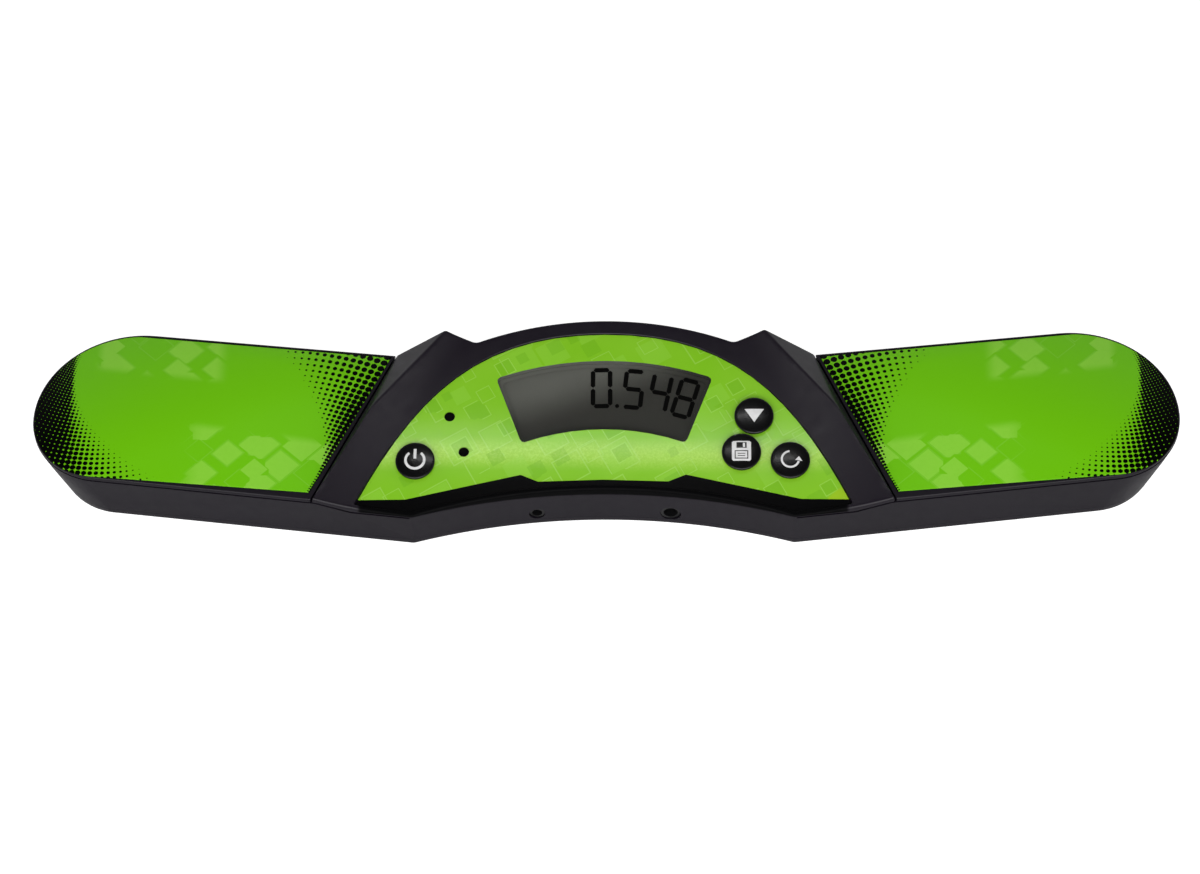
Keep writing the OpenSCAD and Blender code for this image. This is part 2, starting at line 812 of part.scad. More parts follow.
module console_cover() {
    ledge_seat = ledge_z + seat;
    window_step = 0.8;
    color(shell_black)
        difference() {
            union() {
                difference() {
                    console_body(0, 0, ledge_seat);
                    console_body(-cover_under, cover_t, ledge_seat - 1);
                    shell_edge(seat, seat);
                }
                // posts for the long screws and for the main board
                each_side()
                    intersection() {
                        rod(long_screw, boss_r, ledge_seat, far);
                        console_body(1.6, 1, ledge_seat);
                    }
                intersection() {
                    console_body(1.6, 1, 0);
                    for (p = board_screw_at)
                        on_face(p.x, p.y, board_top + seat)
                            cylinder(r = 2, h = 8);
                }
                // tabs that reach down behind the main shell's front ledge
                each_side()
                    intersection() {
                        console_body(1.2, 1, ledge_z - 2.2);
                        difference() {
                            box([27, 35], [-half_depth, -15], [0, 2 * deck_z]);
                            front_tube(ledge_w + 0.15, -1);
                        }
                        front_tube(ledge_w + 1.45, 0);
                    }
            }
            // seat of the face overlay and the front strip
            panel_skin(-1, overlay_drop + overlay_t + seat)
                outline(face_plan, -fit);
            // window seat and opening
            panel_skin(-1, overlay_drop + window_t + seat)
                window_plan(-fit);
            slab(ledge_z, far)
                window_plan(window_step);
            // pocket for the display holder
            on_face(0, glass_y + glass_h / 2, cover_under - 0.2 - 5)
                translate([-glass_w / 2 - holder_wall - 0.3, -glass_h / 2 - holder_wall - 0.3, 0])
                    cube([glass_w + 2 * holder_wall + 0.6, glass_h + 2 * holder_wall + 0.6, 5]);
            for (p = buttons)
                on_face(p.x, p.y, -6)
                    cylinder(r = stem_r + fit, h = 12);
            for (p = [left_led_at, right_led_at])
                on_face(p.x, p.y, -6)
                    cylinder(r = led_r + fit, h = 12);
            for (p = board_screw_at)
                on_face(p.x, p.y, board_top - 1)
                    cylinder(r = board_screw_r + seat, h = 4);
            each_side()
                rod(long_screw, screw_r + seat, 0, ledge_seat + 6);
        }
}

module face_holes() {
    for (p = buttons)
        on_face(p.x, p.y, -6)
            cylinder(r = stem_r + 0.3, h = 12);
    for (p = [left_led_at, right_led_at])
        on_face(p.x, p.y, -6)
            cylinder(r = led_r + fit, h = 12);
}

module face_overlay() {
    color(print_green)
        difference() {
            panel_skin(overlay_drop, overlay_drop + overlay_t)
                difference() {
                    outline(face_plan);
                    window_plan(-fit);
                    offset_strip(0);
                }
            face_holes();
        }
}

// The front strip's field, clipped to the face
module offset_strip(back) {
    translate([0, -back])
        polygon(strip_plan);
}

module front_strip() {
    color(gloss_black)
        panel_skin(overlay_drop, overlay_drop + overlay_t)
            intersection() {
                outline(face_plan);
                offset_strip(seat);
            }
}

module lcd_window() {
    color([0.35, 0.36, 0.34, 0.6])
        panel_skin(overlay_drop, overlay_drop + window_t)
            window_plan(0);
}

// ---- display ----

module glass_box(inset, z0, z1) {
    on_face(-glass_w / 2 + inset, glass_y + inset, z0)
        cube([glass_w - 2 * inset, glass_h - 2 * inset, z1 - z0]);
}

layer_t = 0.1;

module lcd_glass() {
    color([0.36, 0.37, 0.34])
        glass_box(0, glass_under, glass_top - layer_t - seat);
}

// Seven-segment digits, each turned to stand on the window's arc
digit_h = 11;
digit_w = 5.3;
bar = 1;
segments = [[1, 1, 1, 1, 1, 1, 0], [1, 0, 1, 1, 0, 1, 1], [0, 1, 1, 0, 0, 1, 1], [1, 1, 1, 1, 1, 1, 1]];

module segment(x, y, upright) {
    l = (upright ? digit_h / 2 : digit_w) - bar * 1.15;
    translate([x, y])
        square(upright ? [bar, l] : [l, bar], center = true);
}

module digit(on) {
    x = (digit_w - bar) / 2;
    y = (digit_h - bar) / 2;
    places = [[0, y, false], [x, y / 2, true], [x, -y / 2, true], [0, -y, false],
        [-x, -y / 2, true], [-x, y / 2, true], [0, 0, false]];
    for (k = [0 : 6])
        if (on[k] == 1)
            segment(places[k].x, places[k].y, places[k].z);
}

digit_pitch = 6.7;
digit_from = -0.55;        // where the first digit stands, in degrees from the middle
module lcd_digits() {
    digit_r = window_r - 5;
    turn = 180 / PI / digit_r;
    color(gloss_black)
        on_face(0, (window_y - window_r - face_mid_y) / cos(face_tilt) - 0.5, glass_top - layer_t)
            linear_extrude(layer_t)
                for (k = [0 : 3])
                    rotate(-digit_from - (k * digit_pitch + (k > 0 ? 1.4 : 0)) * turn)
                        translate([0, digit_r]) {
                            digit(segments[k]);
                            if (k == 0)
                                translate([digit_w / 2 + 1.35, -digit_h / 2 + bar / 2])
                                    square(bar, center = true);
                        }
}

module lcd_holder() {
    top = glass_top - seat;
    color([0.85, 0.85, 0.83])
        difference() {
            on_face(-glass_w / 2 - holder_wall, glass_y - holder_wall, glass_under - holder_lip)
                cube([glass_w + 2 * holder_wall, glass_h + 2 * holder_wall,
                    top - glass_under + holder_lip]);
            glass_box(-seat, glass_under - seat, 5);
            on_face(-glass_w / 2 + 1.5, glass_y - 5, glass_under - 2)
                cube([glass_w - 3, glass_h + 3.5, 4]);
        }
    color([0.85, 0.85, 0.83])
        for (x = [-1, 1])
            on_face(x * (glass_w / 2 + holder_wall - 1.2) - 1.2, glass_y - holder_wall, board_top + seat)
                cube([2.4, 5, glass_under - holder_lip - board_top - seat + 0.1]);
}

module contact_strip() {
    color([0.9, 0.55, 0.6])
        on_face(-glass_w / 2 + 3, glass_y + 0.3, board_top + seat)
            cube([glass_w - 6, 1.9, glass_under - board_top - 2 * seat]);
}

// ---- boards ----

board_in = 29;             // half width of the main board's narrow middle
board_out = 54.5;          // half width of the main board

module board_shape() {
    difference() {
        union() {
            translate([-board_in - 1, -6])
                square([2 * board_in + 2, 10.5]);
            for (x = [-board_out, board_in])
                translate([x, -8.5])
                    square([board_out - board_in, 22]);
        }
        for (x = [-jack_x, jack_x])
            translate([x - 4.2, -10])
                square([8.4, 10.2]);
    }
}

module main_board() {
    color(board_green)
        difference() {
            on_face(0, 0, board_under)
                linear_extrude(board_t)
                    board_shape();
            for (p = board_screw_at)
                on_face(p.x, p.y, board_under - 1)
                    cylinder(r = board_screw_r + 0.15, h = board_t + 2);
        }
}

module controller_chip() {
    color(gloss_black)
        on_face(-3.5, -5, board_under - 1 - seat)
            cube([7, 7, 1]);
}

module board_capacitors() {
    color([0.7, 0.6, 0.45])
        for (p = [[43, 3.5], [-33.5, 4.5], [-44, 3.5], [-42.5, -6.5], [38.5, -7.2]])
            on_face(p.x, p.y, board_top + seat)
                cube([1.6, 0.8, 0.8]);
}

module tact_switches() {
    color([0.15, 0.15, 0.15])
        for (p = buttons)
            difference() {
                on_face(p.x - 3, p.y - 3, board_top + seat)
                    cube([6, 6, switch_h - seat]);
                on_face(p.x, p.y, board_top + 0.4)
                    cylinder(r = pin_r + fit, h = switch_h);
            }
}

pin_r = 1.6;

module switch_pin(p) {
    bottom = board_top + 0.45 + button_travel;
    color([0.1, 0.1, 0.1])
        on_face(p.x, p.y, bottom)
            cylinder(r = pin_r, h = pin_top - 0.02 - bottom);
}

module power_switch_pin() { switch_pin(power_at); }
module down_switch_pin() { switch_pin(down_at); }
module save_switch_pin() { switch_pin(save_at); }
module reset_switch_pin() { switch_pin(reset_at); }

module push_button(p) {
    head_under = overlay_top + head_gap;
    head_top = head_under + head_t;
    flange_r = stem_r + 0.7;
    // the cover's curved underside comes closer away from the face's middle
    sag = pow(abs(p.y) + flange_r, 2) / (2 * panel_r);
    color(gloss_black)
        on_face(p.x, p.y, 0) {
            intersection() {
                translate([0, 0, head_under])
                    cylinder(r = button_r, h = 3);
                translate([0, 0, head_top + 0.4 - head_dome_r])
                    sphere(r = head_dome_r, $fn = 128);
            }
            translate([0, 0, button_seat - button_flange])
                cylinder(r = stem_r, h = head_under - button_seat + button_flange + 0.2);
            translate([0, 0, button_seat - button_flange])
                cylinder(r = flange_r, h = button_flange - sag);
            translate([0, 0, pin_top])
                cylinder(r = pin_r, h = button_nub + 0.1);
        }
}

module power_button() { push_button(power_at); }
module down_button() { push_button(down_at); }
module save_button() { push_button(save_at); }
module reset_button() { push_button(reset_at); }

module led(p) {
    led_top = overlay_top - 0.35;
    collar = cover_under - 0.4;
    color([0.12, 0.05, 0.05])
        on_face(p.x, p.y, 0) {
            translate([0, 0, collar - 0.6])
                cylinder(r = led_r, h = led_top - collar + 0.6);
            translate([0, 0, collar - 0.7])
                cylinder(r = led_r + 0.4, h = 0.7);
            for (x = [-0.6, 0.6])
                translate([x - 0.2, -0.2, board_top + seat])
                    cube([0.4, 0.4, collar - board_top - 0.6]);
        }
}

module left_led() { led(left_led_at); }
module right_led() { led(right_led_at); }

// ---- jacks and their board ----

data_nose_r = 2.5;
display_nose_r = 1.9;
jack_body = [6, 11.5, 5];
jack_front_y = front_arc_y(jack_x - jack_body.x / 2) + wall + 0.25;
jack_back_y = jack_front_y + jack_body.y;
io_front_y = front_arc_y(0) + wall + fit + tongue_t + 0.2;
io_back_y = jack_back_y + 1.1;
jack_depth = 10.5;
io_board_z = jack_z - 1.5;
io_board_t = 0.8;
board_post_x = 8.5;
io_post_y = -12;
io_half = jack_x + jack_body.x / 2 + 4.2;

module jack(x, nose_r, bore_r) {
    front_y = front_arc_y(jack_x) + 0.35;
    color(gloss_black)
        difference() {
            union() {
                box([x - jack_body.x / 2, x + jack_body.x / 2], [jack_back_y - jack_body.y, jack_back_y],
                    [jack_z - jack_body.z / 2, jack_z + jack_body.z / 2]);
                rod_y(x, jack_z, nose_r, front_y, jack_back_y - 1);
            }
            rod_y(x, jack_z, bore_r, front_y - 1, front_y + jack_depth);
        }
}

module data_jack() { jack(jack_x, data_nose_r, data_bore_r); }
module display_jack() { jack(-jack_x, display_nose_r, display_bore_r); }

module io_board() {
    color(board_green)
        difference() {
            box([-io_half, io_half], [io_front_y, io_back_y], [io_board_z, io_board_z + io_board_t]);
            for (x = [-jack_x, jack_x])
                box([x - jack_body.x / 2 - seat, x + jack_body.x / 2 + seat],
                    [-half_depth, jack_back_y + seat], [0, far]);
            each_side()
                rod([board_post_x, io_post_y], board_screw_r + 0.15, 0, far);
        }
}

module board_ribbon() {
    start = io_board_z + io_board_t + seat;
    end_z = face_mid_z + 1.6 * sin(face_tilt) + board_under * cos(face_tilt) - seat;
    path = [[-7.9, start], [-7.3, start], [-6.6, start + 2], [-6.75, end_z], [-7.35, end_z - 0.12],
        [-7.2, start + 2.1]];
    color([0.6, 0.6, 0.62])
        translate([4.5, 0, 0])
            rotate([90, 0, 90])
                linear_extrude(3)
                    polygon(path);
}

// ---- pads ----

module pad() {
    slab(recess_z + plate_t + seat, deck_z + 0.1)
        outline(pad_plan);
}

module sensor_plate() {
    slab(recess_z + seat, recess_z + plate_t)
        outline(pad_plan, 0.6);
}

module right_pad() {
    color(print_green)
        pad();
}

module left_pad() {
    color(print_green)
        mirror([1, 0, 0])
            pad();
}

module right_sensor_plate() {
    color(metal)
        sensor_plate();
}

module left_sensor_plate() {
    color(metal)
        mirror([1, 0, 0])
            sensor_plate();
}

lead_r = 0.5;
lead_hole_r = 1;
lead_x = 82;
function lead_path(s) =
    let (board_z = face_mid_z + 6 * sin(face_tilt) + board_under * cos(face_tilt) - seat)
    [[s * lead_x, 0, recess_z + seat], [s * lead_x, 0, recess_z - 3], [s * (lead_x - 1), 0, 8.6],
     [s * (lead_x - 3), -0.3, 7.6], [s * (lead_x - 8), -0.8, 7.2], [s * 66, -1.6, 7], [s * 58, -2.2, 7],
     [s * 54.6, -2.5, 7.4], [s * 53.2, -2.6, 8.6], [s * 53, -2.6, board_z - 0.2]];

module right_sensor_lead() {
    color([0.8, 0.1, 0.1])
        tube(lead_path(1), lead_r, [0, 1, 0]);
}

module left_sensor_lead() {
    color([0.8, 0.1, 0.1])
        tube(lead_path(-1), lead_r, [0, 1, 0]);
}

// From each left-hand terminal, through the box's end wall, to the main board
module battery_lead(y, x_up, y_up) {
    z = lead_z;
    board_z = face_mid_z + (y_up - face_mid_y) * tan(face_tilt) + board_under / cos(face_tilt) - 0.3;
    tube([[-room_x - seat, y, z], [-room_x - 2, y, z], [x_up + 1.5, y, z - 0.2], [x_up, (y + y_up) / 2, z - 0.3],
        [x_up, y_up + 1.5, z - 0.4], [x_up, y_up + 0.3, z], [x_up, y_up, board_z]],
        lead_r, [0.35, 0.2, 0.3]);
}

module battery_leads() {
    color([0.7, 0.1, 0.1])
        battery_lead(front_cell_y, -30.5, -4.5);
    color([0.05, 0.05, 0.05])
        battery_lead(rear_cell_y, -34, -4.5);
}

// ---- fasteners and feet ----

module screw(p, head_r, shank_r, z0, head, length) {
    difference() {
        union() {
            rod(p, head_r, z0, z0 + head);
            rod(p, shank_r, z0, z0 + head + length);
        }
        for (a = [0, 90])
            translate([p.x, p.y, z0])
                rotate(a)
                    cube([head_r * 1.2, 0.5, head], center = true);
    }
}

module case_screws() {
    color(metal)
        each_side()
            for (p = short_screws)
                screw(p, screw_head_r, screw_r, foot_h + seat, screw_head_t, 6);
}

module cover_screws() {
    color(metal)
        each_side()
            screw(long_screw, screw_head_r, screw_r, foot_h + seat, screw_head_t, 13);
}

module board_screws() {
    color(metal) {
        for (p = board_screw_at)
            on_face(p.x, p.y, 0)
                screw([0, 0], 1.6, board_screw_r, board_under - 1 - seat, 1, board_t + 2.5);
        each_side()
            mirror([0, 0, 1])
                screw([board_post_x, io_post_y], 1.6, board_screw_r, -io_board_z - io_board_t - 1 - seat, 1,
                    io_board_t + 1.8);
    }
}

module rubber_feet() {
    color([0.08, 0.08, 0.08])
        each_side()
            for (p = feet)
                rod(p, foot_r, 0, foot_h + foot_recess - seat);
}

main_shell();
bottom_cover();
console_cover();
face_overlay();
front_strip();
lcd_window();
lcd_glass();
lcd_digits();
lcd_holder();
contact_strip();
main_board();
controller_chip();
board_capacitors();
power_button();
down_button();
save_button();
reset_button();
power_switch_pin();
down_switch_pin();
save_switch_pin();
reset_switch_pin();
tact_switches();
left_led();
right_led();
io_board();
data_jack();
display_jack();
board_ribbon();
left_pad();
right_pad();
left_sensor_plate();
right_sensor_plate();
left_sensor_lead();
right_sensor_lead();
front_cell();
rear_cell();
battery_springs();
battery_terminals();
battery_bridge();
battery_leads();
battery_door();
case_screws();
cover_screws();
board_screws();
rubber_feet();
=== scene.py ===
from math import acos, asin, atan2, cos, degrees, pi, radians, sin, sqrt, tan

import bmesh
import bpy
import numpy as np
from mathutils import Matrix, Vector
from mathutils.geometry import delaunay_2d_cdt


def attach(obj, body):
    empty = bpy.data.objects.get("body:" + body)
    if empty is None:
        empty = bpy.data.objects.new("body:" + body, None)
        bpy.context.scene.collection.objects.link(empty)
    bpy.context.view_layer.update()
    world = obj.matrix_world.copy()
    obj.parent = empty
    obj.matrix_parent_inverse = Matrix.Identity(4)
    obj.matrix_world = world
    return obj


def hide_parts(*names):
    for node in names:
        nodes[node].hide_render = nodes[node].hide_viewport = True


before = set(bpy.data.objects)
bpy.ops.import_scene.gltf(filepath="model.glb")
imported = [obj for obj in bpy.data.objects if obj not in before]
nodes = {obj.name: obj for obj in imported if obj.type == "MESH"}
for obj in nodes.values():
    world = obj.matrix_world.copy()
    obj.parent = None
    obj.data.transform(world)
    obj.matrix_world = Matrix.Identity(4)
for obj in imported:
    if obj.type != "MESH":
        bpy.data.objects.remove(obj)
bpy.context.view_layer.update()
MM = 0.001
CLEAR = 0.05    # gap left between seated faces

# ---- sizes, the same as in the part's source ----

HALF_LEN, HALF_DEPTH = 145.0, 27.55
DECK, FOOT = 16.3, 1.0
CORNER_X, FRONT_RISE = 47.8, 7.0
FRONT_SWEEP, BACK_SWEEP = 7.06, 6.15
END_BACK_R, END_FRONT_R, TIP_DRAFT = 26.2, 19.0, 5.5
GROOVE = DECK - 1.6
PANEL_R, PANEL_TILT, PANEL_FRONT = 300.0, 15.5, 13.2
SEAM_TOP, LEDGE = 12.7, 11.65
FLANK_FRONT_X, FLANK_BACK_X, FLANK_SLOPE = 72.8, 53.4, 58.0
SHOULDER = (40.7, 23.8)
NOTCH_X, ARCH_R, ARCH_Y = 32.8, 86.0, 26.7
LIP, FACE_X, FACE_Y = 1.3, 62.1, 22.6
FACE_LEAN, FACE_PULL, FOOT_PULL = 63.0, 32.0, 33.0
OVERLAY_DROP, OVERLAY_T = 0.4, 0.35
BUTTONS = {"power": (-47.2, -3.3), "down": (37.8, 8.9), "save": (34.6, -1.0), "reset": (46.8, -3.3)}

FRONT_ARC_R = (CORNER_X**2 + FRONT_RISE**2) / (2 * FRONT_RISE)
END_BACK = (HALF_LEN - END_BACK_R, HALF_DEPTH - END_BACK_R)
AXIS_Y = PANEL_R * sin(radians(PANEL_TILT)) - HALF_DEPTH
AXIS_Z = PANEL_FRONT - PANEL_R * cos(radians(PANEL_TILT))
FACE_TILT = asin((AXIS_Y + 10) / PANEL_R)


def front_arc_y(x):
    return FRONT_RISE - HALF_DEPTH - FRONT_ARC_R + sqrt(FRONT_ARC_R**2 - x * x)


def front_line_y(x):
    return (x - CORNER_X) * tan(radians(FRONT_SWEEP)) - HALF_DEPTH


def back_line_y(x):
    t = radians(BACK_SWEEP)
    return END_BACK[1] + END_BACK_R / cos(t) + (x - END_BACK[0]) * tan(t)


def arch_y(x):
    return ARCH_Y - ARCH_R + sqrt(ARCH_R**2 - x * x)


def panel_z(y):
    return AXIS_Z + np.sqrt(PANEL_R**2 - (AXIS_Y - y) ** 2)


# ---- outlines ----


def shrink(c, d):
    out = []
    n = len(c)
    for i in range(n):
        a, p, b = (np.array(c[j % n][:2], float) for j in (i - 1, i, i + 1))
        u, v = (p - a) / np.linalg.norm(p - a), (b - p) / np.linalg.norm(b - p)
        k = d / (1 + u @ v)
        turn = u[0] * v[1] - u[1] * v[0]
        r = c[i][2]
        out.append((p[0] - k * (u[1] + v[1]), p[1] + k * (u[0] + v[0]),
                    0 if r == 0 else max(r - d if turn > 0 else r + d, 0.05)))
    return out


def rounded(c, step=4.0):
    out = []
    n = len(c)
    for i in range(n):
        a, p, b = (np.array(c[j % n][:2], float) for j in (i - 1, i, i + 1))
        r = c[i][2]
        if r == 0:
            out.append(p)
            continue
        u, v = (a - p) / np.linalg.norm(a - p), (b - p) / np.linalg.norm(b - p)
        half = acos(max(-1, min(1, u @ v))) / 2
        reach = r / tan(half)
        centre = p + (u + v) / np.linalg.norm(u + v) * r / sin(half)
        f, l = p + u * reach - centre, p + v * reach - centre
        start = atan2(f[1], f[0])
        sweep = (atan2(l[1], l[0]) - start + 3 * pi) % (2 * pi) - pi
        steps = max(2, int(np.ceil(abs(pi - 2 * half) / radians(step))))
        for s in range(steps + 1):
            t = start + sweep * s / steps
            out.append(centre + r * np.array([cos(t), sin(t)]))
    return np.array(out)


def both_sides(c):
    return c + [(-p[0], p[1], p[2]) for p in c[-2:0:-1]]


def even(points, longest):
    """Splits the long sides of a closed outline."""
    out = []
    for p, q in zip(points, np.roll(points, -1, axis=0)):
        n = max(1, int(np.ceil(np.linalg.norm(q - p) / longest)))
        out += [p + (q - p) * k / n for k in range(n)]
    return np.array(out)


FRONT_ARC = [(x, front_arc_y(x), 0) for x in np.linspace(0, CORNER_X, 25)[:-1]]
ARCH = [(x, arch_y(x), 0) for x in np.linspace(NOTCH_X, 0, 19)[1:]]
CORNER = (CORNER_X, -HALF_DEPTH, 3)
NOTCH = (NOTCH_X, arch_y(NOTCH_X), 2.5)
PEAK_PLAN = (SHOULDER[0], SHOULDER[1], 1.6)
FLANK_BACK = (FLANK_BACK_X, back_line_y(FLANK_BACK_X), 0.6)


def body_plan(tip=0.0):
    end = HALF_LEN - tip
    return both_sides(FRONT_ARC + [CORNER, (end, front_line_y(end), END_FRONT_R - tip / 4),
                                   (end, back_line_y(end), END_BACK_R - tip / 4),
                                   FLANK_BACK, PEAK_PLAN, NOTCH] + ARCH)


CONSOLE_PLAN = both_sides(FRONT_ARC + [CORNER, (FLANK_FRONT_X, front_line_y(FLANK_FRONT_X), 0.4),
                                       FLANK_BACK, PEAK_PLAN, NOTCH] + ARCH)


def face_outline():
    """The face's edge: the cover's front edge, less its lip, and one smooth curve over the back."""
    foot = np.array([FACE_X, front_line_y(FACE_X) + LIP])
    a, b = np.array([0, FACE_Y]), np.array([FACE_PULL, FACE_Y])
    c = foot + FOOT_PULL * np.array([-cos(radians(FACE_LEAN)), sin(radians(FACE_LEAN))])
    top = [(1 - t) ** 3 * a + 3 * t * (1 - t) ** 2 * b + 3 * t * t * (1 - t) * c + t**3 * foot
           for t in np.linspace(0, 1, 29)]
    plan = shrink(CONSOLE_PLAN, LIP)
    low = [q for q in plan if -1e-6 < q[0] < CORNER_X + LIP and q[1] < 0]
    right = low + [(*foot, 0.3)] + [(q[0], q[1], 0) for q in top[-2::-1]]
    return both_sides(right)


WINDOW_R, WINDOW_H, WINDOW_HALF, WINDOW_Y = 78.0, 19.1, 20.5, 14.9


def window_outline(inset):
    outer, inner = WINDOW_R - inset, WINDOW_R - WINDOW_H + inset
    a = WINDOW_HALF - degrees(inset / WINDOW_R)
    # each corner: where its rounding starts, and the point halfway round it
    corner, bulge = 1.2, 0.35
    cut = degrees(corner / WINDOW_R)
    half = cut / 3.4
    polar = [(outer, t) for t in np.linspace(a - cut, cut - a, 21)]
    polar += [(outer - bulge, half - a), (outer - corner, -a), (inner + corner, -a), (inner + bulge, half - a)]
    polar += [(inner, t) for t in np.linspace(cut - a, a - cut, 21)]
    polar += [(inner + bulge, a - half), (inner + corner, a), (outer - corner, a), (outer - bulge, a - half)]
    return np.array([(r * sin(radians(t)), WINDOW_Y - WINDOW_R + r * cos(radians(t))) for r, t in polar])


PAD_TIP = HALF_LEN - 0.5
PAD_XF, PAD_XB = FLANK_FRONT_X + 0.65, FLANK_BACK_X + 1.4
PAD_YF = front_line_y(PAD_XF) + 2.2
PAD_PLAN = [(PAD_XF, PAD_YF, 0.3),
            (PAD_TIP, PAD_YF + (PAD_TIP - PAD_XF) * tan(radians(5.26)), END_FRONT_R - 1.5),
            (PAD_TIP, back_line_y(PAD_TIP) - 0.7, END_BACK_R - 0.7),
            (PAD_XB, back_line_y(PAD_XB) - 0.7, 0.3)]

# ---- the console's top: panel, bands and flanks, softly joined ----


def plane(a, b, c):
    """Height over (x, y) of the plane through three points, as coefficients."""
    m = np.array([[*p[:2], 1.0] for p in (a, b, c)])
    return np.linalg.solve(m, np.array([p[2] for p in (a, b, c)]))


PEAK = np.array([*SHOULDER, panel_z(SHOULDER[1])])
F_FRONT = np.array([FLANK_FRONT_X, front_line_y(FLANK_FRONT_X), DECK])
F_BACK = np.array([FLANK_BACK_X, back_line_y(FLANK_BACK_X), DECK])
F_OUT = np.array([F_BACK[1] - F_FRONT[1], F_FRONT[0] - F_BACK[0], 0])
F_OUT = F_OUT / np.linalg.norm(F_OUT)
F_TOP = F_FRONT + 0.6 * (F_BACK - F_FRONT) + (0, 0, 4.4) - F_OUT * 4.4 / tan(radians(FLANK_SLOPE))
BAND = plane((FLANK_FRONT_X - 1.8, front_line_y(FLANK_FRONT_X - 1.8) + 0.7, DECK),
             (FACE_X + 1, front_line_y(FACE_X + 1) + 0.1, panel_z(front_line_y(FACE_X + 1)) + 0.2),
             PEAK + (0.3, 0, 0))
STEEP = plane(F_FRONT, F_BACK, F_TOP)
BACK_FLANK = plane(PEAK + (0.5, 0, 0), F_BACK + (-0.2, 0, 0.3), F_TOP)


def soft_min(a, b, k):
    h = np.clip(0.5 + 0.5 * (b - a) / k, 0, 1)
    return b * (1 - h) + a * h - k * h * (1 - h)


def console_top(x, y):
    x = np.abs(x)
    band, steep, back = (c[0] * x + c[1] * y + c[2] for c in (BAND, STEEP, BACK_FLANK))
    top = -soft_min(-panel_z(y), -band, 2.0)
    return soft_min(top, soft_min(steep, back, 0.45), 0.45)


# ---- mesh helpers ----


def new_piece(name, verts, faces, body, replaced=(), mat=None, smooth=35.0):
    me = bpy.data.meshes.new(name)
    me.from_pydata([tuple(float(c) * MM for c in v) for v in verts], [], [tuple(f) for f in faces])
    bm = bmesh.new()
    bm.from_mesh(me)
    bmesh.ops.remove_doubles(bm, verts=bm.verts, dist=1e-7)
    bmesh.ops.dissolve_degenerate(bm, dist=1e-8, edges=bm.edges)
    bmesh.ops.recalc_face_normals(bm, faces=bm.faces)
    bm.to_mesh(me)
    bm.free()
    for p in me.polygons:
        p.use_smooth = True
    me.set_sharp_from_angle(angle=radians(smooth))
    o = bpy.data.objects.new(name, me)
    bpy.context.scene.collection.objects.link(o)
    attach(o, body)
    if replaced:
        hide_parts(*replaced)
    if mat:
        me.materials.append(mat)
    return o


def loft(rings, close=True, caps=()):
    """Faces between rings of equal length, as (verts, faces)."""
    n = len(rings[0])
    verts = [v for r in rings for v in r]
    faces = []
    for k in range(len(rings) - (0 if close else 1)):
        a, b = k * n, ((k + 1) % len(rings)) * n
        faces += [(a + i, a + (i + 1) % n, b + (i + 1) % n, b + i) for i in range(n)]
    if "first" in caps:
        faces.append(tuple(range(n))[::-1])
    if "last" in caps:
        faces.append(tuple(range((len(rings) - 1) * n, len(rings) * n)))
    return verts, faces


def inside(points, loop):
    x, y = points[:, 0], points[:, 1]
    odd = np.zeros(len(points), bool)
    for (x1, y1), (x2, y2) in zip(loop, np.roll(loop, -1, axis=0)):
        cut = (y1 > y) != (y2 > y)
        with np.errstate(divide="ignore", invalid="ignore"):
            odd ^= cut & (x < (x2 - x1) * (y - y1) / (y2 - y1) + x1)
    return odd


def gap_to(points, loop):
    best = np.full(len(points), 1e9)
    for a, b in zip(loop, np.roll(loop, -1, axis=0)):
        d = b - a
        t = np.clip(((points - a) @ d) / max(d @ d, 1e-12), 0, 1)
        best = np.minimum(best, np.hypot(*(points - a - t[:, None] * d).T))
    return best


def fill(outer, holes=(), spacing=1.0, rows=None):
    """Triangles over a flat region: (points, faces). Rows are points that take the place of the grid."""
    lo, hi = outer.min(0), outer.max(0)
    gx, gy = np.arange(lo[0], hi[0], spacing), np.arange(lo[1], hi[1], spacing * 0.866)
    grid = np.array([(x + (0.5 * spacing if j % 2 else 0), y) for j, y in enumerate(gy) for x in gx])
    keep = inside(grid, outer) & (gap_to(grid, outer) > spacing * 0.45)
    for h in holes:
        keep &= ~inside(grid, h) & (gap_to(grid, h) > spacing * 0.45)
    grid = grid[keep]
    if rows is not None:
        rows = rows[inside(rows, outer) & (gap_to(rows, outer) > 0.3)]
        for h in holes:
            rows = rows[~inside(rows, h) & (gap_to(rows, h) > 0.3)]
        far = np.min(np.hypot(*(grid[:, None] - rows[None]).transpose(2, 0, 1)), axis=1)
        grid = np.concatenate([grid[far > 0.5], rows])
    points, edges = [], []
    for loop in (outer, *holes):
        s = len(points)
        points += [tuple(p) for p in loop]
        edges += [(s + i, s + (i + 1) % len(loop)) for i in range(len(loop))]
    points += [tuple(p) for p in grid]
    v, _, f, _, _, _ = delaunay_2d_cdt([Vector(p) for p in points], edges, [], 0, 1e-6)
    v = np.array([tuple(p) for p in v])
    f = np.array([tuple(t) for t in f])
    mid = v[f].mean(axis=1)
    ok = inside(mid, outer)
    for h in holes:
        ok &= ~inside(mid, h)
    return v, f[ok]


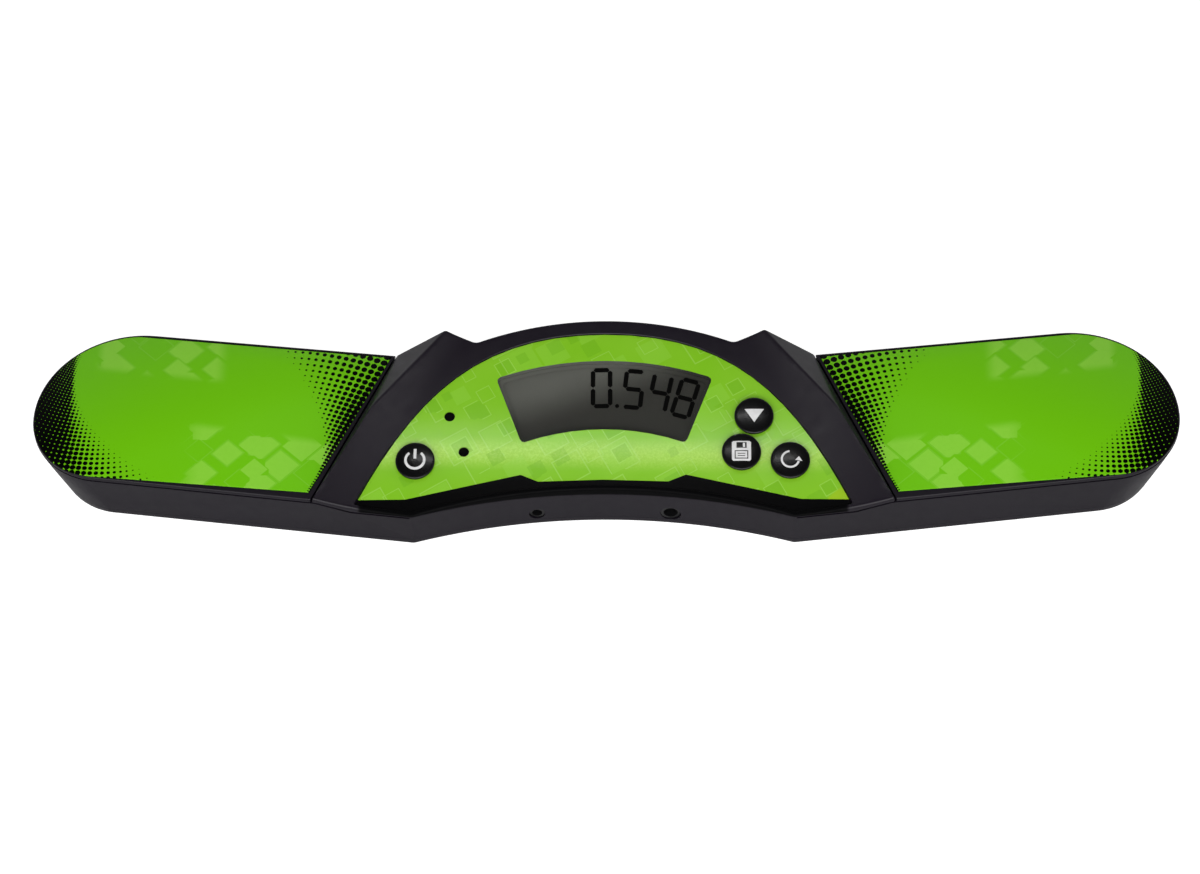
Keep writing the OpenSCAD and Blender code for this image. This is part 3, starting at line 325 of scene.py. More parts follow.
def tile(outer, holes, top, bottom, spacing=1.0):
    """A thin solid over a flat region, between two heights given as functions of (x, y)."""
    v, f = fill(outer, holes, spacing)
    n = len(v)
    verts = [(x, y, z) for (x, y), z in zip(v, top(v[:, 0], v[:, 1]))]
    verts += [(x, y, z) for (x, y), z in zip(v, bottom(v[:, 0], v[:, 1]))]
    faces = [tuple(t) for t in f] + [tuple(int(i) + n for i in t[::-1]) for t in f]
    count = {}
    for t in f:
        for a, b in ((t[0], t[1]), (t[1], t[2]), (t[2], t[0])):
            count[(a, b)] = count.get((a, b), 0) + 1
    faces += [(b, a, a + n, b + n) for (a, b) in count if (b, a) not in count]
    return verts, [tuple(int(i) for i in t) for t in faces]


def evaluated(o):
    deps = bpy.context.evaluated_depsgraph_get()
    return bpy.data.meshes.new_from_object(o.evaluated_get(deps))


# ---- materials ----


class Net:
    """A node tree, with sockets that take + - * / and numbers."""

    def __init__(self, name):
        self.mat = bpy.data.materials.new(name)
        self.mat.use_nodes = True
        self.nt = self.mat.node_tree
        self.nt.nodes.clear()
        out = self.nt.nodes.new("ShaderNodeOutputMaterial")
        self.bsdf = self.nt.nodes.new("ShaderNodeBsdfPrincipled")
        self.nt.links.new(self.bsdf.outputs[0], out.inputs[0])
        co = self.nt.nodes.new("ShaderNodeTexCoord").outputs["Object"]
        scaled = self.nt.nodes.new("ShaderNodeVectorMath")
        scaled.operation = "SCALE"
        self.nt.links.new(co, scaled.inputs[0])
        scaled.inputs["Scale"].default_value = 1000.0
        self.mm = scaled.outputs[0]
        sep = self.nt.nodes.new("ShaderNodeSeparateXYZ")
        self.nt.links.new(self.mm, sep.inputs[0])
        self.x, self.y, self.z = (S(self, sep.outputs[i]) for i in range(3))

    @classmethod
    def over(cls, mat):
        """The net of a material that is made already, to add to it."""
        n = cls.__new__(cls)
        n.mat, n.nt = mat, mat.node_tree
        n.bsdf = next(k for k in n.nt.nodes if k.type == "BSDF_PRINCIPLED")
        sep = next(k for k in n.nt.nodes if k.type == "SEPXYZ")
        n.x, n.y, n.z = (S(n, sep.outputs[i]) for i in range(3))
        return n

    def put(self, socket, v):
        if isinstance(v, S):
            v = v.s
        if isinstance(v, bpy.types.NodeSocket):
            self.nt.links.new(v, socket)
        else:
            socket.default_value = v

    def math(self, op, *args):
        n = self.nt.nodes.new("ShaderNodeMath")
        n.operation = op
        for i, a in enumerate(args):
            self.put(n.inputs[i], a)
        return S(self, n.outputs[0])

    def noise(self, scale, detail=3.0, rough=0.5):
        n = self.nt.nodes.new("ShaderNodeTexNoise")
        self.put(n.inputs["Vector"], self.mm)
        n.inputs["Scale"].default_value = scale
        n.inputs["Detail"].default_value = detail
        n.inputs["Roughness"].default_value = rough
        return S(self, n.outputs["Fac"])

    def step(self, v, lo, hi):
        n = self.nt.nodes.new("ShaderNodeMapRange")
        n.interpolation_type = "SMOOTHSTEP"
        for k, a in zip(("Value", "From Min", "From Max"), (v, lo, hi)):
            self.put(n.inputs[k], a)
        return S(self, n.outputs[0])

    def mix(self, fac, a, b):
        n = self.nt.nodes.new("ShaderNodeMix")
        n.data_type = "RGBA"
        self.put(n.inputs["Factor"], fac)
        self.put(n.inputs["A"], a)
        self.put(n.inputs["B"], b)
        return n.outputs["Result"]

    def bump(self, height, strength=0.2, distance=0.00005):
        n = self.nt.nodes.new("ShaderNodeBump")
        n.inputs["Strength"].default_value = strength
        n.inputs["Distance"].default_value = distance
        self.put(n.inputs["Height"], height)
        self.nt.links.new(n.outputs[0], self.bsdf.inputs["Normal"])

    def set(self, **kw):
        for k, v in kw.items():
            self.put(self.bsdf.inputs[k.replace("_", " ")], v)
        return self.mat


class S:
    def __init__(self, net, s):
        self.net, self.s = net, s

    def __add__(self, o):
        return self.net.math("ADD", self, o)

    def __radd__(self, o):
        return self.net.math("ADD", o, self)

    def __sub__(self, o):
        return self.net.math("SUBTRACT", self, o)

    def __rsub__(self, o):
        return self.net.math("SUBTRACT", o, self)

    def __mul__(self, o):
        return self.net.math("MULTIPLY", self, o)

    __rmul__ = __mul__

    def __truediv__(self, o):
        return self.net.math("DIVIDE", self, o)

    def __pow__(self, o):
        return self.net.math("POWER", self, o)

    def abs(self):
        return self.net.math("ABSOLUTE", self)

    def max(self, o):
        return self.net.math("MAXIMUM", self, o)

    def min(self, o):
        return self.net.math("MINIMUM", self, o)


def rgb(r, g, b):
    """A screen colour of 0 to 255, as linear RGBA."""
    lin = [c / 12.92 if c <= 0.04045 else ((c + 0.055) / 1.055) ** 2.4 for c in (r / 255, g / 255, b / 255)]
    return (*lin, 1.0)


def moulded(name, colour, rough, grain=2.6, strength=0.12, tint=0.25, spec=0.5):
    """Moulded plastic: fine grain, faint flow marks, slightly uneven gloss."""
    n = Net(name)
    flow = n.noise(0.05, 2.0)
    fine = n.noise(grain, 4.0, 0.6)
    dark = tuple(c * (1 - tint) for c in colour[:3]) + (1.0,)
    light = tuple(min(1, c * (1 + tint)) for c in colour[:3]) + (1.0,)
    base = n.mix(n.step(flow * 0.7 + fine * 0.3, 0.3, 0.7), dark, light)
    n.bump(fine, strength)
    uneven = n.step(n.noise(0.35, 3.0), 0.2, 0.8)
    return n.set(Base_Color=base, Roughness=uneven * 0.08 + (rough - 0.04), Specular_IOR_Level=spec)


def motif(n, u, v, cell, seed, least, most, share):
    """Scattered soft squares: a mask of filled ones and a mask of outlined ones."""
    comb = n.nt.nodes.new("ShaderNodeCombineXYZ")
    n.put(comb.inputs[0], u)
    n.put(comb.inputs[1], v)
    comb.inputs[2].default_value = seed
    vor = n.nt.nodes.new("ShaderNodeTexVoronoi")
    vor.voronoi_dimensions = "2D"
    vor.distance = "CHEBYCHEV"
    vor.feature = "F1"
    off = n.nt.nodes.new("ShaderNodeVectorMath")
    off.operation = "ADD"
    n.put(off.inputs[0], comb.outputs[0])
    off.inputs[1].default_value = (seed * 7.3, seed * 3.1, 0)
    n.put(vor.inputs["Vector"], off.outputs[0])
    vor.inputs["Scale"].default_value = 1.0 / cell
    vor.inputs["Randomness"].default_value = 0.75
    sep = n.nt.nodes.new("ShaderNodeSeparateColor")
    n.put(sep.inputs[0], vor.outputs["Color"])
    d = S(n, vor.outputs["Distance"])
    r1, r2, r3 = (S(n, sep.outputs[i]) for i in range(3))
    size = r1 * (most - least) + least
    full = n.math("LESS_THAN", d, size) * n.math("LESS_THAN", r2, share)
    line = n.math("LESS_THAN", (d - size - 0.03).abs(), 0.016) * n.math("LESS_THAN", r3, share)
    return full, line


CASE = moulded("case_plastic", rgb(17, 12, 22), 0.4, tint=0.08, spec=0.3)


def cover_plastic():
    """The case's plastic, near black and dull on the lip in front of the strip."""
    mat = moulded("cover_plastic", rgb(19, 13, 24), 0.36, tint=0.08, spec=0.3)
    n = Net.over(mat)
    cy = n.y - (FRONT_RISE - HALF_DEPTH - FRONT_ARC_R)
    arc_gap = n.math("SQRT", n.x * n.x + cy * cy) - FRONT_ARC_R
    line_gap = n.y + HALF_DEPTH - (n.x.abs() - CORNER_X) * tan(radians(FRONT_SWEEP))
    lip = 1 - n.step(arc_gap.min(line_gap), LIP + 0.15, LIP + 0.45)
    lip = lip * n.step(n.x.abs(), FACE_X - 0.5, FACE_X - 1.5) * n.step(n.z, 12.8, 13.0)
    base, rough = (n.bsdf.inputs[k].links[0].from_socket for k in ("Base Color", "Roughness"))
    n.set(Base_Color=n.mix(lip, base, rgb(2, 2, 3)), Specular_IOR_Level=0.3 - lip * 0.25,
          Roughness=S(n, rough) + lip * 0.15)
    return mat


COVER = cover_plastic()


def pad_print():
    n = Net("pad_print")
    x, y = n.x.abs(), n.y
    c, s = cos(radians(BACK_SWEEP)), sin(radians(BACK_SWEEP))
    u, v = x * c + y * s, y * c - x * s
    green, light = rgb(110, 196, 6), rgb(138, 210, 58)
    # clusters of lighter squares at the outer back and along the front edge
    ru, rv = u * 0.8 + v * 0.6, v * 0.8 - u * 0.6
    full, line = motif(n, ru, rv, 7.5, 2.0, 0.30, 0.5, 0.8)
    near_back = n.step(v - (x - 96) * 0.02, 0.5, 3.5) * n.step(x, 96, 100)
    near_front = n.step(u * 0.06 - v, 17.0, 20.0) * n.step(x, 108, 101)
    where = near_back.max(near_front) * n.step(x, 131, 128)
    colour = n.mix(full * where, green, light)
    colour = n.mix(line * where * 0.5, colour, rgb(136, 206, 66))
    speck = n.noise(0.9, 3.0)
    colour = n.mix(n.step(speck, 0.35, 0.75) * 0.10, colour, rgb(112, 198, 28))

    def dots(cx, cy, share):
        """Distance from the nearest of a fan of dots, whose pitch is a share of the way to the centre."""
        dx, dy = x - cx, y - cy
        far = n.math("LOGARITHM", n.math("SQRT", dx * dx + dy * dy), 2.718282) * (1 / share)
        fu = n.math("FRACT", far + 100.0) - 0.5
        fv = n.math("FRACT", n.math("ARCTAN2", dy, dx) * (1 / share) + 200.0) - 0.5
        return n.math("SQRT", fu * fu + fv * fv)

    # dots beside the console, and at the wing's tip
    edge = 54.5 + (19.6 - y) * 0.4545
    q = ((y + 18) / 37.6).max(0.0)
    width = 0.7 + 26.3 * q**1.65
    near = x - edge
    first = 0.6 - n.step(y, 0, 15) * 0.13
    inner = first * (1 - near / width).max(0.0) ** 0.5
    bound = 135.1 - ((14 - y) * (14 - y)) * 0.0235
    run = (x - bound).max(0.0)
    span = (136.2 - bound).max(0.8)
    outer = (run / span).min(1.0) ** 0.8 * 0.56 + ((run - span).max(0.0) / 7).min(1.0) * 0.1
    dot = n.step(inner - dots(84, -45, 0.0285), -0.04, 0.04).max(
        n.step(outer - dots(128, 40, 0.0275), -0.04, 0.04))
    # black border along the back edge
    back_edge = (END_BACK[1] + END_BACK_R / c - END_BACK[0] * s / c) * c - 0.7
    dot = dot.max(n.step(v, back_edge - 0.42, back_edge - 0.3))
    colour = n.mix(dot, colour, rgb(2, 2, 2))
    n.bump(n.noise(3.0, 2.0), 0.05)
    return n.set(Base_Color=colour, Roughness=0.42, Specular_IOR_Level=0.14 - dot * 0.1)


def face_print():
    n = Net("face_print")
    x, y = n.x, n.y
    base = rgb(120, 193, 4)
    # soft clouds of lighter green, strongest in a level band across the face, which is a painted sheen with a
    # grainy glitter
    cloud = n.noise(0.05, 3.0)
    band = 1 - n.step((y + 9.0 + n.noise(0.03, 1.0) * 4).abs(), 0.5, 5.0)
    # the grainy glitter of the painted sheen band
    grain = n.step(n.noise(1.7, 4.0, 0.7), 0.4, 0.65)
    colour = n.mix((cloud * 0.28 + band * (grain * 0.28 + 0.34)).min(1.0), base, rgb(188, 230, 96))
    ru, rv = x * 0.87 + y * 0.5, y * 0.87 - x * 0.5
    full, line = motif(n, ru, rv, 11.0, 1.0, 0.18, 0.42, 0.55)
    colour = n.mix(full * 0.3, colour, rgb(150, 214, 70))
    full2, line2 = motif(n, ru + 3, rv, 7.0, 4.0, 0.16, 0.36, 0.45)
    colour = n.mix(full2 * 0.3, colour, rgb(100, 172, 14))
    colour = n.mix(line.max(line2) * 0.25, colour, rgb(186, 230, 120))
    # a yellower corner beyond a curved line, front right
    cx, cy = x - 66, y + 31
    r = n.math("SQRT", cx * cx + cy * cy)
    colour = n.mix((1 - n.step(r, 12.6, 13.2)) * 0.85, colour, rgb(160, 200, 30))
    n.bump(n.noise(2.2, 3.0), 0.08)
    return n.set(Base_Color=colour, Roughness=0.45, Specular_IOR_Level=0.12, Coat_Weight=0.4,
                 Coat_Roughness=0.16)


def gloss(name, colour, rough=0.12, coat=0.5, spec=0.5):
    n = Net(name)
    v = n.noise(0.6, 2.0)
    base = n.mix(v, tuple(c * 0.8 for c in colour[:3]) + (1,), tuple(c * 1.2 for c in colour[:3]) + (1,))
    n.bump(n.noise(1.2, 2.0), 0.03)
    return n.set(Base_Color=base, Roughness=n.step(v, 0, 1) * 0.04 + (rough - 0.02), Coat_Weight=coat,
                 Coat_Roughness=0.15, Specular_IOR_Level=spec)


def metal(name, colour, rough=0.28):
    n = Net(name)
    v = n.noise(1.6, 4.0, 0.7)
    base = n.mix(v, tuple(c * 0.85 for c in colour[:3]) + (1,), colour)
    n.bump(v, 0.08)
    return n.set(Base_Color=base, Metallic=1.0, Roughness=v * 0.15 + (rough - 0.05))


def display():
    n = Net("display_glass")
    x, y = n.x, n.y
    # painted reflection: the glass is painted lighter at the upper left and darker towards the lower right
    painted_reflection_fade = n.step((x - 6) * 0.35 - y + n.noise(0.05, 1.0), -17, -4)
    colour = n.mix(painted_reflection_fade, rgb(98, 99, 93), rgb(53, 53, 49))
    n.bump(n.noise(2.0, 2.0), 0.02)
    return n.set(Base_Color=colour, Roughness=0.4, Specular_IOR_Level=0.1)


def lens():
    n = Net("window_lens")
    n.bump(n.noise(0.4, 2.0), 0.02)
    colour = n.mix(n.noise(0.3, 2.0), rgb(50, 50, 48), rgb(60, 60, 58))
    return n.set(Base_Color=colour, Roughness=0.1, Alpha=0.04, Specular_IOR_Level=0.25)


def board():
    n = Net("circuit_board")
    a = n.math("FRACT", (n.x + n.y * 0.3) * 0.4)
    trace = n.math("LESS_THAN", (a - 0.5).abs(), 0.1)
    colour = n.mix(trace * 0.6, rgb(12, 78, 40), rgb(30, 110, 60))
    n.bump(trace, 0.1)
    return n.set(Base_Color=colour, Roughness=0.35)


STRIP = gloss("strip_film", rgb(3, 3, 4), 0.3, 0.0, 0.06)
MATERIALS = {
    "main_shell": CASE, "bottom_cover": CASE, "battery_door": CASE, "console_cover": COVER,
    "face_overlay": face_print(), "front_strip": STRIP, "lcd_window": lens(), "lcd_glass": display(),
    "lcd_digits": gloss("display_ink", rgb(2, 2, 2), 0.8, 0.0, 0.0),
    "lcd_holder": moulded("holder_white", rgb(215, 215, 210), 0.5),
    "contact_strip": moulded("contact_rubber", rgb(200, 150, 160), 0.7),
    "controller_chip": moulded("chip_body", rgb(30, 30, 32), 0.5),
    "board_capacitors": moulded("ceramic", rgb(170, 140, 105), 0.5),
    "tact_switches": moulded("switch_body", rgb(30, 30, 30), 0.5),
    "left_led": gloss("lamp_lens", rgb(2, 1, 2), 0.4, 0.0, 0.05), "right_led": "left_led",
    "data_jack": moulded("jack_body", rgb(14, 14, 15), 0.4), "display_jack": "data_jack",
    "board_ribbon": moulded("ribbon", rgb(150, 150, 155), 0.5),
    "main_board": board(), "io_board": "main_board",
    "left_pad": pad_print(), "right_pad": "left_pad",
    "case_screws": metal("plated_steel", rgb(190, 190, 194)),
    "left_sensor_lead": moulded("lead_jacket", rgb(175, 20, 18), 0.5),
    "front_cell": moulded("cell_jacket", rgb(60, 62, 70), 0.3),
    "rubber_feet": moulded("foot_rubber", rgb(24, 24, 25), 0.7, strength=0.3),
}
for group, like in (("cover_screws board_screws battery_springs battery_terminals battery_bridge "
                     "left_sensor_plate right_sensor_plate", "case_screws"),
                    ("right_sensor_lead battery_leads", "left_sensor_lead"), ("rear_cell", "front_cell"),
                    ("power_switch_pin down_switch_pin save_switch_pin reset_switch_pin", "tact_switches")):
    for name in group.split():
        MATERIALS[name] = like
BUTTON = gloss("button_gloss", rgb(4, 4, 5), 0.26, 0.1, 0.35)
WHITE = gloss("button_symbol", rgb(224, 224, 224), 0.5, 0.0, 0.1)


def material(name):
    m = MATERIALS.get(name, BUTTON)
    return MATERIALS[m] if isinstance(m, str) else m


for name, o in nodes.items():
    o.data.materials.clear()
    o.data.materials.append(material(name))
    for p in o.data.polygons:
        p.use_smooth = True
    o.data.set_sharp_from_angle(angle=radians(32))

# ---- case: the shells, with their outer edges rounded off ----

# the envelope stands proud of the walls and of the flat faces, so that it cuts the edges only
PROUD, PROUD_FLAT = 0.03, 0.02
FOOT_ROUND, DECK_ROUND = 1.2, 0.5


def envelope():
    def ring(z, inset):
        tip = TIP_DRAFT * max(GROOVE - z, 0) / (GROOVE - FOOT)
        return [(p[0], p[1], z) for p in even(rounded(shrink(body_plan(tip), inset), 3), 6.0)]

    turns = np.radians(np.linspace(0, 90, 6))
    r = FOOT_ROUND
    rings = [ring(FOOT - PROUD_FLAT + r * (1 - cos(t)), r * (1 - sin(t)) - PROUD) for t in turns]
    rings += [ring(GROOVE, -PROUD)]
    r = DECK_ROUND
    rings += [ring(DECK + PROUD_FLAT - r * (1 - sin(t)), r * (1 - cos(t)) - PROUD) for t in turns]
    n = min(len(k) for k in rings)
    return [k[:n] for k in rings]


def rounded_shell(name):
    src = nodes[name]
    me = src.data.copy()
    bm = bmesh.new()
    bm.from_mesh(me)
    bmesh.ops.remove_doubles(bm, verts=bm.verts, dist=1e-7)
    bm.to_mesh(me)
    bm.free()
    o = bpy.data.objects.new(name + "_cut", me)
    o.matrix_world = src.matrix_world
    bpy.context.scene.collection.objects.link(o)
    v, f = loft(envelope(), close=False, caps=("first", "last"))
    env = new_piece("envelope", v, f, "case")
    mod = o.modifiers.new("round", "BOOLEAN")
    mod.operation, mod.solver, mod.object = "INTERSECT", "EXACT", env
    made = evaluated(o)
    for x in (o, env):
        bpy.data.objects.remove(x)
    out = bpy.data.objects.new(name + "_moulding", made)
    bpy.context.scene.collection.objects.link(out)
    made.set_sharp_from_angle(angle=radians(30))
    for p in made.polygons:
        p.use_smooth = abs(p.normal.z) < 0.9999
    made.materials.clear()
    made.materials.append(CASE)
    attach(out, "case")
    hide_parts(name)
    return out


rounded_shell("main_shell")
rounded_shell("bottom_cover")

# ---- console cover ----


def crease_rows():
    """Points along the creases between band and flanks, in rows on both sides of each."""
    rows = []
    lines = [(PEAK[:2], F_TOP[:2]), (F_TOP[:2], F_FRONT[:2]), (F_TOP[:2], F_BACK[:2])]
    y = np.linspace(SHOULDER[1], -26, 60)
    x = (panel_z(y) - BAND[1] * y - BAND[2]) / BAND[0]
    lines += [(np.array(a), np.array(b)) for a, b in zip(zip(x, y), zip(x[1:], y[1:]))]
    for a, b in lines:
        u = (b - a) / np.linalg.norm(b - a)
        v = np.array([-u[1], u[0]])
        n = max(1, int(np.linalg.norm(b - a) / 0.6))
        for off in (-0.6, -0.3, -0.1, 0.1, 0.3, 0.6) if n > 5 else (-0.25, 0.0, 0.25):
            rows += [a + (b - a) * (k + 0.5) / n + v * off for k in range(n)]
    rows = np.array(rows)
    rows = rows[np.unique(np.round(rows, 1), axis=0, return_index=True)[1]]
    return np.concatenate([rows, rows * (-1, 1)])


def console_cover():
    outer = even(rounded(CONSOLE_PLAN, 5), 1.2)

    def ring(d):
        """The outline moved inwards, point for point."""
        tang = np.roll(outer, -1, axis=0) - np.roll(outer, 1, axis=0)
        tang /= np.linalg.norm(tang, axis=1)[:, None]
        return outer + d * np.stack([-tang[:, 1], tang[:, 0]], 1)

    height = console_top(outer[:, 0], outer[:, 1])
    foot = np.maximum(SEAM_TOP + CLEAR, np.minimum(
        BAND[0] * np.abs(outer[:, 0]) + BAND[1] * outer[:, 1] + BAND[2] - 1.1, DECK - 1.1))
    near_band = (outer[:, 1] < -15) & (np.abs(outer[:, 0]) > FACE_X - 4)
    foot = np.where(near_band, foot, SEAM_TOP + CLEAR)
    r = np.minimum(0.55, (height - foot) * 0.8)
    rings = [[(*p, LEDGE + CLEAR) for p in ring(2.0)], [(*p, LEDGE + CLEAR) for p in ring(0.7)],
             [(*p, z) for p, z in zip(ring(0.7), foot)], [(*p, z) for p, z in zip(ring(0.0), foot)]]
    for t in np.radians(np.linspace(0, 90, 6)):
        p = outer + (ring(1.0) - outer) * (r * (1 - cos(t)))[:, None]
        z = console_top(p[:, 0], p[:, 1]) - r * (1 - sin(t))
        rings.append([(*a, b) for a, b in zip(p, z)])
    inner_edge = np.array([q[:2] for q in rings[-1]])
    verts, faces = loft(rings, close=False)
    # the visible frame round the face, with the seat of the printed film
    seat = even(rounded(shrink(face_outline(), -0.1), 10), 1.2)
    lip = even(rounded(shrink(face_outline(), -0.22), 10), 1.2)
    v, f = fill(inner_edge, (lip,), 0.8, crease_rows())
    s = len(verts)
    verts += [(a, b, c) for (a, b), c in zip(v, console_top(v[:, 0], v[:, 1]))]
    faces += [tuple(int(i) + s for i in t) for t in f]
    # bevel of the opening's edge, and its wall down past the film
    depth = OVERLAY_DROP + OVERLAY_T + 0.06
    for a, b, za, zb in ((lip, seat, 0.0, -0.12), (seat, seat, -0.12, -depth)):
        n = len(a)
        s = len(verts)
        if len(a) != len(b):
            b = np.array([b[np.argmin(np.hypot(*(b - p).T))] for p in a])
        verts += [(*p, console_top(*p) + za) for p in a] + [(*p, panel_z(p[1]) + zb) for p in b]
        faces += [(s + i, s + (i + 1) % n, s + n + (i + 1) % n, s + n + i) for i in range(n)]
    return verts, faces


v, f = console_cover()
new_piece("console_cover_moulding", v, f, "case", ("console_cover",), COVER, 30)

# ---- pads ----


def pad(side):
    rings = []
    top, base = DECK + 0.12, DECK - 0.25
    for z, d in ((base, 0.0), (top - 0.15, 0.0), (top - 0.06, 0.04), (top, 0.15)):
        ring = even(rounded(shrink(PAD_PLAN, d), 3), 5.0)
        rings.append([(side * p[0], p[1], z) for p in ring])
    n = min(len(k) for k in rings)
    return loft([k[:n] for k in rings], close=False, caps=("first", "last"))


for side, name in ((-1, "left_pad"), (1, "right_pad")):
    v, f = pad(side)
    new_piece(name + "_film", v, f, "case", (name,), material("left_pad"), 40)

# ---- buttons ----

ON_FACE = Matrix.Translation((0, -10, float(panel_z(-10.0)))) @ Matrix.Rotation(FACE_TILT, 4, "X")
SEAT_Z = -2.5


HEAD_R, DOME_TOP, DOME_R = 4.95, 1.45, 24.0


def dome_z(r):
    return DOME_TOP - (DOME_R - np.sqrt(DOME_R**2 - r * r))


def button(name):
    at = BUTTONS[name]
    rim = dome_z(HEAD_R)
    flange = SEAT_Z - (abs(at[1]) + 4.2) ** 2 / (2 * PANEL_R)
    prof = [(1.6, SEAT_Z - 1.0), (1.6, SEAT_Z - 0.7), (4.2, SEAT_Z - 0.7), (4.2, flange), (3.5, flange),
            (3.5, 0.15), (4.8, 0.15), (4.93, 0.22), (HEAD_R, 0.35)]
    prof += [(HEAD_R - 0.3 * (1 - cos(t)), rim - 0.27 + 0.3 * sin(t)) for t in np.radians(np.linspace(0, 75, 5))]
    prof += [(r, dome_z(r)) for r in (4.4, 3.8, 3.0, 2.0, 1.0, 0.35)]
    n = 72
    rings = [[tuple(ON_FACE @ Vector((at[0] + r * cos(2 * pi * k / n), at[1] + r * sin(2 * pi * k / n), z)))
              for k in range(n)] for r, z in prof]
    v, f = loft(rings, close=False, caps=("first", "last"))
    new_piece(name + "_button_dome", v, f, name + "_key", (name + "_button",), BUTTON, 30)


def arc(r, a0, a1, n=40):
    return [(r * cos(radians(a)), r * sin(radians(a))) for a in np.linspace(a0, a1, n)]


def box(x, y):
    return [(x[0], y[0]), (x[1], y[0]), (x[1], y[1]), (x[0], y[1])]


def symbols(name):
    """A button's symbol, as outlines with their holes."""
    if name == "power":
        return [(arc(2.68, 128, 412) + arc(2.02, 412, 128), []), (box((-0.36, 0.36), (0.3, 3.0)), [])]
    if name == "down":
        return [([(-2.4, 1.55), (0.05, -2.1), (2.5, 1.55)], [])]
    if name == "save":
        body = [(-2.05, -2.7), (2.05, -2.7), (2.4, -2.35), (2.4, 2.35), (2.05, 2.7), (-2.05, 2.7), (-2.4, 2.35),
                (-2.4, -2.35)]
        return [(body, [box((-1.25, 1.3), (0.75, 2.35)), box((-1.7, 1.7), (-2.15, 0.1))]),
                (box((0.35, 0.9), (0.95, 2.15)), []),
                (box((-1.45, 1.45), (-1.9, -0.15)),
                 [box((-0.95, 0.95), (-0.85, -0.65)), box((-0.95, 0.95), (-1.45, -1.25))])]
    ring = arc(2.4, 95, 345) + arc(1.88, 345, 95)
    return [(ring, []), ([(1.2, -0.25), (3.0, -0.5), (2.15, 0.8)], [])]


def closed(outline):
    return even(np.array(outline, float), 0.35)


for name, at in BUTTONS.items():
    button(name)
    verts, faces = [], []
    for outline, holes in symbols(name):
        v, f = tile(closed(outline), [closed(h) for h in holes], lambda x, y: dome_z(np.hypot(x, y)) + 0.015,
                    lambda x, y: dome_z(np.hypot(x, y)) - 0.08, 0.5)
        s = len(verts)
        verts += [tuple(ON_FACE @ Vector((at[0] + p[0], at[1] + p[1], p[2]))) for p in v]
        faces += [tuple(i + s for i in t) for t in f]
    new_piece(name + "_symbol", verts, faces, name + "_key", (), WHITE, 50)

# ---- display: digits with mitred segments, and the gasket round the lens ----

GLASS_TOP = -2.75
DIGIT_W, DIGIT_H, STROKE = 4.35, 10.0, 1.12
DIGIT_R = WINDOW_R - 5
LIT = ("abcdef", "acdfg", "bcfg", "abcdefg")
TURNS = (-0.55, 5.8, 11.1, 16.3)


def digits():
    verts, faces = [], []
    centre_v = (WINDOW_Y - WINDOW_R + 10) / cos(FACE_TILT) - 0.5
    w, h, t, gap = DIGIT_W / 2, DIGIT_H / 2, STROKE / 2, 0.18
    ends = {"a": ((-w, h), (w, h)), "b": ((w, h), (w, 0)), "c": ((w, 0), (w, -h)), "d": ((-w, -h), (w, -h)),
            "e": ((-w, 0), (-w, -h)), "f": ((-w, h), (-w, 0)), "g": ((-w, 0), (w, 0))}

    def add(points, turn):
        c, s = cos(radians(turn)), sin(radians(turn))
        n, k = len(points), len(verts)
        for z in (GLASS_TOP - 0.1, GLASS_TOP):
            for x, y in points:
                y += DIGIT_R
                verts.append(tuple(ON_FACE @ Vector((x * c + y * s, y * c - x * s + centre_v, z))))
        faces.append(tuple(range(k, k + n))[::-1])
        faces.append(tuple(range(k + n, k + 2 * n)))
        faces.extend((k + i, k + (i + 1) % n, k + n + (i + 1) % n, k + n + i) for i in range(n))

    for lit, turn in zip(LIT, TURNS):
        for name in lit:
            a, b = (np.array(p) for p in ends[name])
            u = (b - a) / np.linalg.norm(b - a)
            v = np.array([-u[1], u[0]])
            a, b = a + u * gap, b - u * gap
            mitre = t * 0.75
            add([tuple(p) for p in (a, a + u * mitre - v * t, b - u * mitre - v * t, b, b - u * mitre + v * t,
                                    a + u * mitre + v * t)], turn)
    dot = [(w + 1.75 + 0.5 * cos(q), 0.5 * sin(q) - h) for q in np.radians(np.arange(0, 360, 15))]
    add(dot, TURNS[0])
    new_piece("lcd_segments", verts, faces, "case", ("lcd_digits",), material("lcd_digits"), 30)


def gasket():
    verts, faces = [], []
    # insets of the outer and inner edge, and depths below the panel of the top and the bottom
    for outer, inner, top, bottom in ((-0.07, -0.03, 0.45, 1.62), (0.03, 1.0, 1.61, 1.64)):
        v, f = tile(even(window_outline(outer), 1.0), [even(window_outline(inner), 1.0)],
                    lambda x, y: panel_z(y) - top, lambda x, y: panel_z(y) - bottom, 1.0)
        s = len(verts)
        verts += v
        faces += [tuple(i + s for i in t) for t in f]
    new_piece("lens_gasket", verts, faces, "case", (), material("lcd_glass"), 30)


digits()
gasket()

# ---- camera, light and floor ----

AZ, EL, ROLL = radians(2.78), radians(54.0), radians(2.38)
AIM, DISTANCE = Vector((0, 0.05, 12)), 1000
# pixels of the picture per millimetre, and by how many the aim is off the middle
SCALE, OFF_X, OFF_Y = 3.945, 4.5, 7
back = Vector((sin(AZ) * cos(EL), -cos(AZ) * cos(EL), sin(EL)))
right = Vector((cos(AZ), sin(AZ), 0))
up = back.cross(right)
cam_x = right * cos(ROLL) - up * sin(ROLL)
cam_y = right * sin(ROLL) + up * cos(ROLL)
cam = bpy.data.objects.new("camera", bpy.data.cameras.new("camera"))
cam.data.lens, cam.data.sensor_width = 118.35, 36
place = AIM + DISTANCE * back - cam_x * (OFF_X / SCALE) - cam_y * (OFF_Y / SCALE)
rot = Matrix((cam_x, cam_y, back)).transposed().to_4x4()
cam.matrix_world = Matrix.Translation(place * MM) @ rot
cam.data.clip_start, cam.data.clip_end = 0.05, 20
scene = bpy.context.scene
scene.collection.objects.link(cam)
scene.camera = cam


